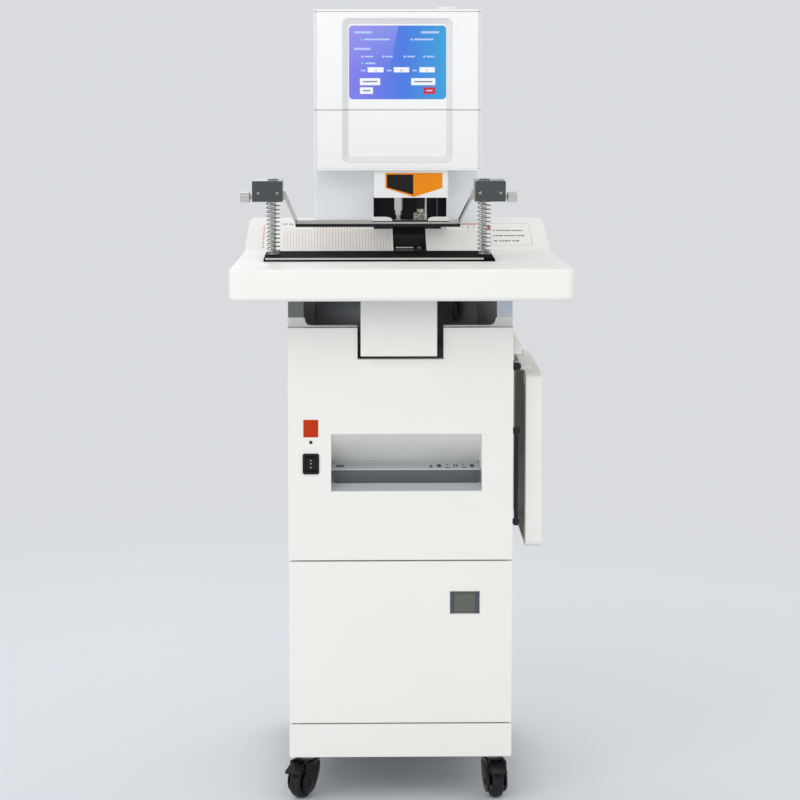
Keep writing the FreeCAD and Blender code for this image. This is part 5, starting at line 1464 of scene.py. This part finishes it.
class RIVETER_OT_casters(bpy.types.Operator):
    """Build the casters' treaded wheels, cheek covers and axle caps"""

    bl_idname = "riveter.casters"
    bl_label = "Casters"

    headings = {"front_left": -120, "front_right": -80, "rear_left": 75, "rear_right": 110}
    trail = 18 * MM

    def execute(self, context):
        for corner, heading in self.headings.items():
            low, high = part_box("caster_wheel_" + corner)
            centre = (low + high) / 2
            angle = math.radians(heading)
            ahead = Vector((math.cos(angle), math.sin(angle), 0))
            side = Vector((-math.sin(angle), math.cos(angle), 0))
            self.wheel(corner, centre, side)
            self.hood(corner, centre, ahead, side)
            paint("caster_fork_" + corner, caster_nylon())
            soften("caster_fork_" + corner, 0.8 * MM, 2)
        for corner in ("front_left", "front_right"):
            paint("brake_pedal_" + corner, caster_nylon())
            soften("brake_pedal_" + corner, 1.2 * MM, 3)
        return {"FINISHED"}

    def wheel(self, corner, centre, side):
        """A dished nylon wheel with a rounded tread."""
        # The profile is in millimetres: how far each point is from the axle, and along it.
        r, half, bare_rim = centre.z / MM, 9.5, 7.5
        profile = [
            (3.1, -half),
            (6.5, -half),
            (7.6, -half + 1.6),
            (15.5, -half + 2.4),
            (17.2, -half + 0.8),
            (r - 3.2, -half + 0.2),
            (r - 1.4, -half + 1.0),
            (r - 0.3, -half + 3.2),
            (r, -half + 6.0),
        ]
        profile += [(near, -place) for near, place in reversed(profile)]
        profile = [(near * MM, place * MM) for near, place in profile]
        shape = bmesh.new()
        lathe(shape, profile, centre, side, 48, start=side.cross(UP), closed=True)
        for face in shape.faces:
            reach = (face.calc_center_median() - centre).length
            face.material_index = 0 if reach > (r - bare_rim) * MM else 1
        name = "wheel_" + corner
        wheel = finish_piece(name, shape, name, [tread_rubber(), caster_nylon()], 40)
        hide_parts("caster_wheel_" + corner)

    def hood(self, corner, centre, ahead, side):
        """A crowned cover over each cheek of the fork, with a domed cap over the axle."""
        # All in millimetres. The cover's outline, each point ahead of the kingpin and above the floor.
        outline = [(-13, 60.4), (-14.5, 52), (-13, 42), (-7, 28), (1, 16), (9, 9.5), (18, 7.5), (27, 9.5)]
        outline += [(34, 16), (37, 25), (36, 34), (31, 42), (28.5, 50), (28, 60.4)]
        middle = (10, 34)
        # Its crown: how far out each ring is, and how much of the outline is left there.
        crown = ((13.55, 1.0), (15.3, 1.0), (16.6, 0.93), (17.3, 0.8), (17.6, 0.5))
        cap = [(5.4, 17.2), (5.4, 18.2), (4.2, 19.0), (2.2, 19.4), (0.0, 19.5)]
        cap = [(near * MM, out * MM) for near, out in cap]
        shape = bmesh.new()
        for way in (1, -1):
            rings = []
            for out, share in crown:
                ring = []
                for point in outline:
                    along, height = (start + (end - start) * share for start, end in zip(middle, point))
                    place = centre + ahead * (along * MM - self.trail) + UP * (height * MM - centre.z)
                    ring.append(place + side * (way * out * MM))
                rings.append(ring)
            loft(shape, rings)
            lathe(shape, cap, centre, side * way, 20)
        finish_piece("caster_hood_" + corner, shape, "swivel_" + corner, [caster_nylon()], 40)


# ---- Cable ---------------------------------------------------------------------------------------
class RIVETER_OT_cable(bpy.types.Operator):
    """Hang the short cable between the column and the table's frame"""

    bl_idname = "riveter.cable"
    bl_label = "Cable"

    route = [
        (105 * MM, 147 * MM, 790 * MM),
        (105 * MM, 110 * MM, 790 * MM),
        (105 * MM, 98 * MM, 752 * MM),
        (99 * MM, 76 * MM, 745 * MM),
        (95 * MM, 60 * MM, 762 * MM),
        (95 * MM, 60 * MM, 818 * MM),
    ]
    diameter = 8 * MM
    length = 170.8 * MM

    def execute(self, context):
        line = bpy.data.curves.new("cable", "CURVE")
        line.dimensions = "3D"
        spline = line.splines.new("NURBS")
        spline.points.add(len(self.route) - 1)
        for point, place in zip(spline.points, self.route):
            point.co = (*place, 1)
        spline.order_u = 3
        spline.use_endpoint_u = True
        spline.resolution_u = 12
        line.bevel_depth = self.diameter / 2
        line.bevel_resolution = 3
        line.materials.append(cable_jacket())
        cable = bpy.data.objects.new("cable", line)
        context.scene.collection.objects.link(cable)
        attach(cable, MACHINE)
        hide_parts("cable_loop")
        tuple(self.route[0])
        return {"FINISHED"}


# ---- Stage ---------------------------------------------------------------------------------------
class RIVETER_OT_stage(bpy.types.Operator):
    """Lay the floor, and set the light and the camera"""

    bl_idname = "riveter.stage"
    bl_label = "Stage"

    pale = "d9dbde"
    camera_place = (-84 * MM, -4361 * MM, 1241 * MM)
    camera_pitch = 6.70
    camera_yaw = -1.14
    # The lens has this many pixels of a frame of 800, on a sensor 36 mm wide.
    camera_lens = 2670 / 800 * 36
    camera_shift = -0.08

    def execute(self, context):
        scene = context.scene
        scene.view_settings.view_transform = "Standard"
        self.floor(scene)
        self.world(scene)
        self.lights(scene)
        camera = bpy.data.objects.new("camera", bpy.data.cameras.new("camera"))
        scene.collection.objects.link(camera)
        camera.location = self.camera_place
        camera.rotation_euler = (math.radians(90 - self.camera_pitch), 0, math.radians(self.camera_yaw))
        camera.data.lens = self.camera_lens
        camera.data.shift_y = self.camera_shift
        scene.camera = camera
        return {"FINISHED"}

    def floor(self, scene):
        """A wide disc that turns into the backdrop's colour some way from the machine."""
        shape = bmesh.new()
        bmesh.ops.create_circle(shape, cap_ends=True, radius=14.0, segments=96)
        mesh = bpy.data.meshes.new("floor")
        shape.to_mesh(mesh)
        shape.free()
        floor = bpy.data.objects.new("floor", mesh)
        scene.collection.objects.link(floor)
        mesh.materials.append(self.vinyl())

    def vinyl(self):
        # Matt studio vinyl: it keeps the machine's shadow, and fades to an even tone far away.

        def fill(tree, place, axes):
            reach = add(tree, "ShaderNodeVectorMath", {0: place}, operation="LENGTH")
            fade = {"Value": reach, "From Min": 0.7, "From Max": 2.6}
            far = add(tree, "ShaderNodeMapRange", fade, interpolation_type="SMOOTHSTEP")
            speckle = add(tree, "ShaderNodeTexNoise", {"Vector": place, "Scale": 1 / (5 * MM)})
            bump = add(tree, "ShaderNodeBump", {"Height": speckle, "Distance": 0.03 * MM})
            matt = {"Base Color": opaque(self.pale), "Roughness": 0.6, "Normal": bump}
            near = add(tree, "ShaderNodeBsdfPrincipled", matt)
            glow = add(tree, "ShaderNodeEmission", {"Color": opaque(self.pale), "Strength": 1.0})
            return add(tree, "ShaderNodeMixShader", {0: far, 1: near, 2: glow})

        return made_once("studio_vinyl", fill)

    def world(self, scene):
        """An even backdrop to the eye, to gloss and through glass, and a softer light on what is matt."""
        world = bpy.data.worlds.new("studio")
        scene.world = world
        world.use_nodes = True
        tree = world.node_tree
        tree.nodes.clear()
        path = add(tree, "ShaderNodeLightPath").outputs
        either = {0: path["Is Camera Ray"], 1: path["Is Glossy Ray"]}
        seen = add(tree, "ShaderNodeMath", either, operation="MAXIMUM")
        through = {0: seen, 1: path["Is Transmission Ray"]}
        seen = add(tree, "ShaderNodeMath", through, operation="MAXIMUM")
        light = add(tree, "ShaderNodeBackground", {"Color": opaque("f2f5f8"), "Strength": 0.9})
        shown = add(tree, "ShaderNodeBackground", {"Color": opaque(self.pale), "Strength": 1.0})
        mix = add(tree, "ShaderNodeMixShader", {0: seen, 1: light, 2: shown})
        add(tree, "ShaderNodeOutputWorld", {"Surface": mix})

    def lights(self, scene):
        """Soft boxes round the machine, each (name, place, watts, width, height, colour, seen in gloss)."""
        aim = Vector((0, 0, 0.75))
        boxes = [
            ("key", (-2.3, -2.7, 2.7), 20, 1.8, 1.8, "fffaf4", True),
            ("front", (0.0, -4.8, 2.9), 15, 1.6, 1.6, "fffaf4", False),
            ("low", (-0.9, -3.6, 1.13), 18, 1.2, 0.3, "f2f6ff", False),
            ("back", (-1.2, 3.4, 2.4), 25, 2.2, 2.2, "f4f7ff", True),
            ("back_right", (2.6, 2.6, 1.6), 18, 2.0, 2.0, "fff8f0", True),
        ]
        for name, place, watts, width, height, code, glossy in boxes:
            lamp = bpy.data.lights.new(name, "AREA")
            lamp.shape = "RECTANGLE"
            lamp.size, lamp.size_y = width, height
            lamp.energy = watts
            lamp.color = linear(code)
            holder = bpy.data.objects.new(name, lamp)
            holder.visible_glossy = glossy
            scene.collection.objects.link(holder)
            holder.location = place
            holder.rotation_euler = (aim - Vector(place)).to_track_quat("-Z", "Y").to_euler()


# ---- Panel and registration ----------------------------------------------------------------------
OPERATORS = (
    RIVETER_OT_stage,
    RIVETER_OT_cable,
    RIVETER_OT_finishes,
    RIVETER_OT_screen_picture,
    RIVETER_OT_field_outline,
    RIVETER_OT_back_fence,
    RIVETER_OT_bar_fittings,
    RIVETER_OT_tool_liner,
    RIVETER_OT_well_liner,
    RIVETER_OT_deck_ruler,
    RIVETER_OT_deck_marks,
    RIVETER_OT_presser,
    RIVETER_OT_coloured_plates,
    RIVETER_OT_switch_marks,
    RIVETER_OT_feed_marks,
    RIVETER_OT_hinge_guard,
    RIVETER_OT_rear_screws,
    RIVETER_OT_casters,
)


class RIVETER_PT_panel(bpy.types.Panel):
    """The machine's colours, sizes and building steps"""

    bl_label = "Riveter"
    bl_idname = "RIVETER_PT_panel"
    bl_space_type = "VIEW_3D"
    bl_region_type = "UI"
    bl_category = "Riveter"

    def draw(self, context):
        layout = self.layout
        for settings in (context.scene.riveter_colours, context.scene.riveter_sizes):
            column = layout.column(align=True)
            for key in settings.__annotations__:
                column.prop(settings, key)
        for operator in OPERATORS:
            layout.operator(operator.bl_idname)


CLASSES = (RiveterColours, RiveterSizes, *OPERATORS, RIVETER_PT_panel)


def register():
    for item in CLASSES:
        bpy.utils.register_class(item)
    bpy.types.Scene.riveter_colours = PointerProperty(type=RiveterColours)
    bpy.types.Scene.riveter_sizes = PointerProperty(type=RiveterSizes)


def unregister():
    del bpy.types.Scene.riveter_sizes
    del bpy.types.Scene.riveter_colours
    for item in reversed(CLASSES):
        bpy.utils.unregister_class(item)


def main():
    register()
    for operator in OPERATORS:
        family, step = operator.bl_idname.split(".")
        getattr(getattr(bpy.ops, family), step)()


if __name__ == "__main__":
    main()
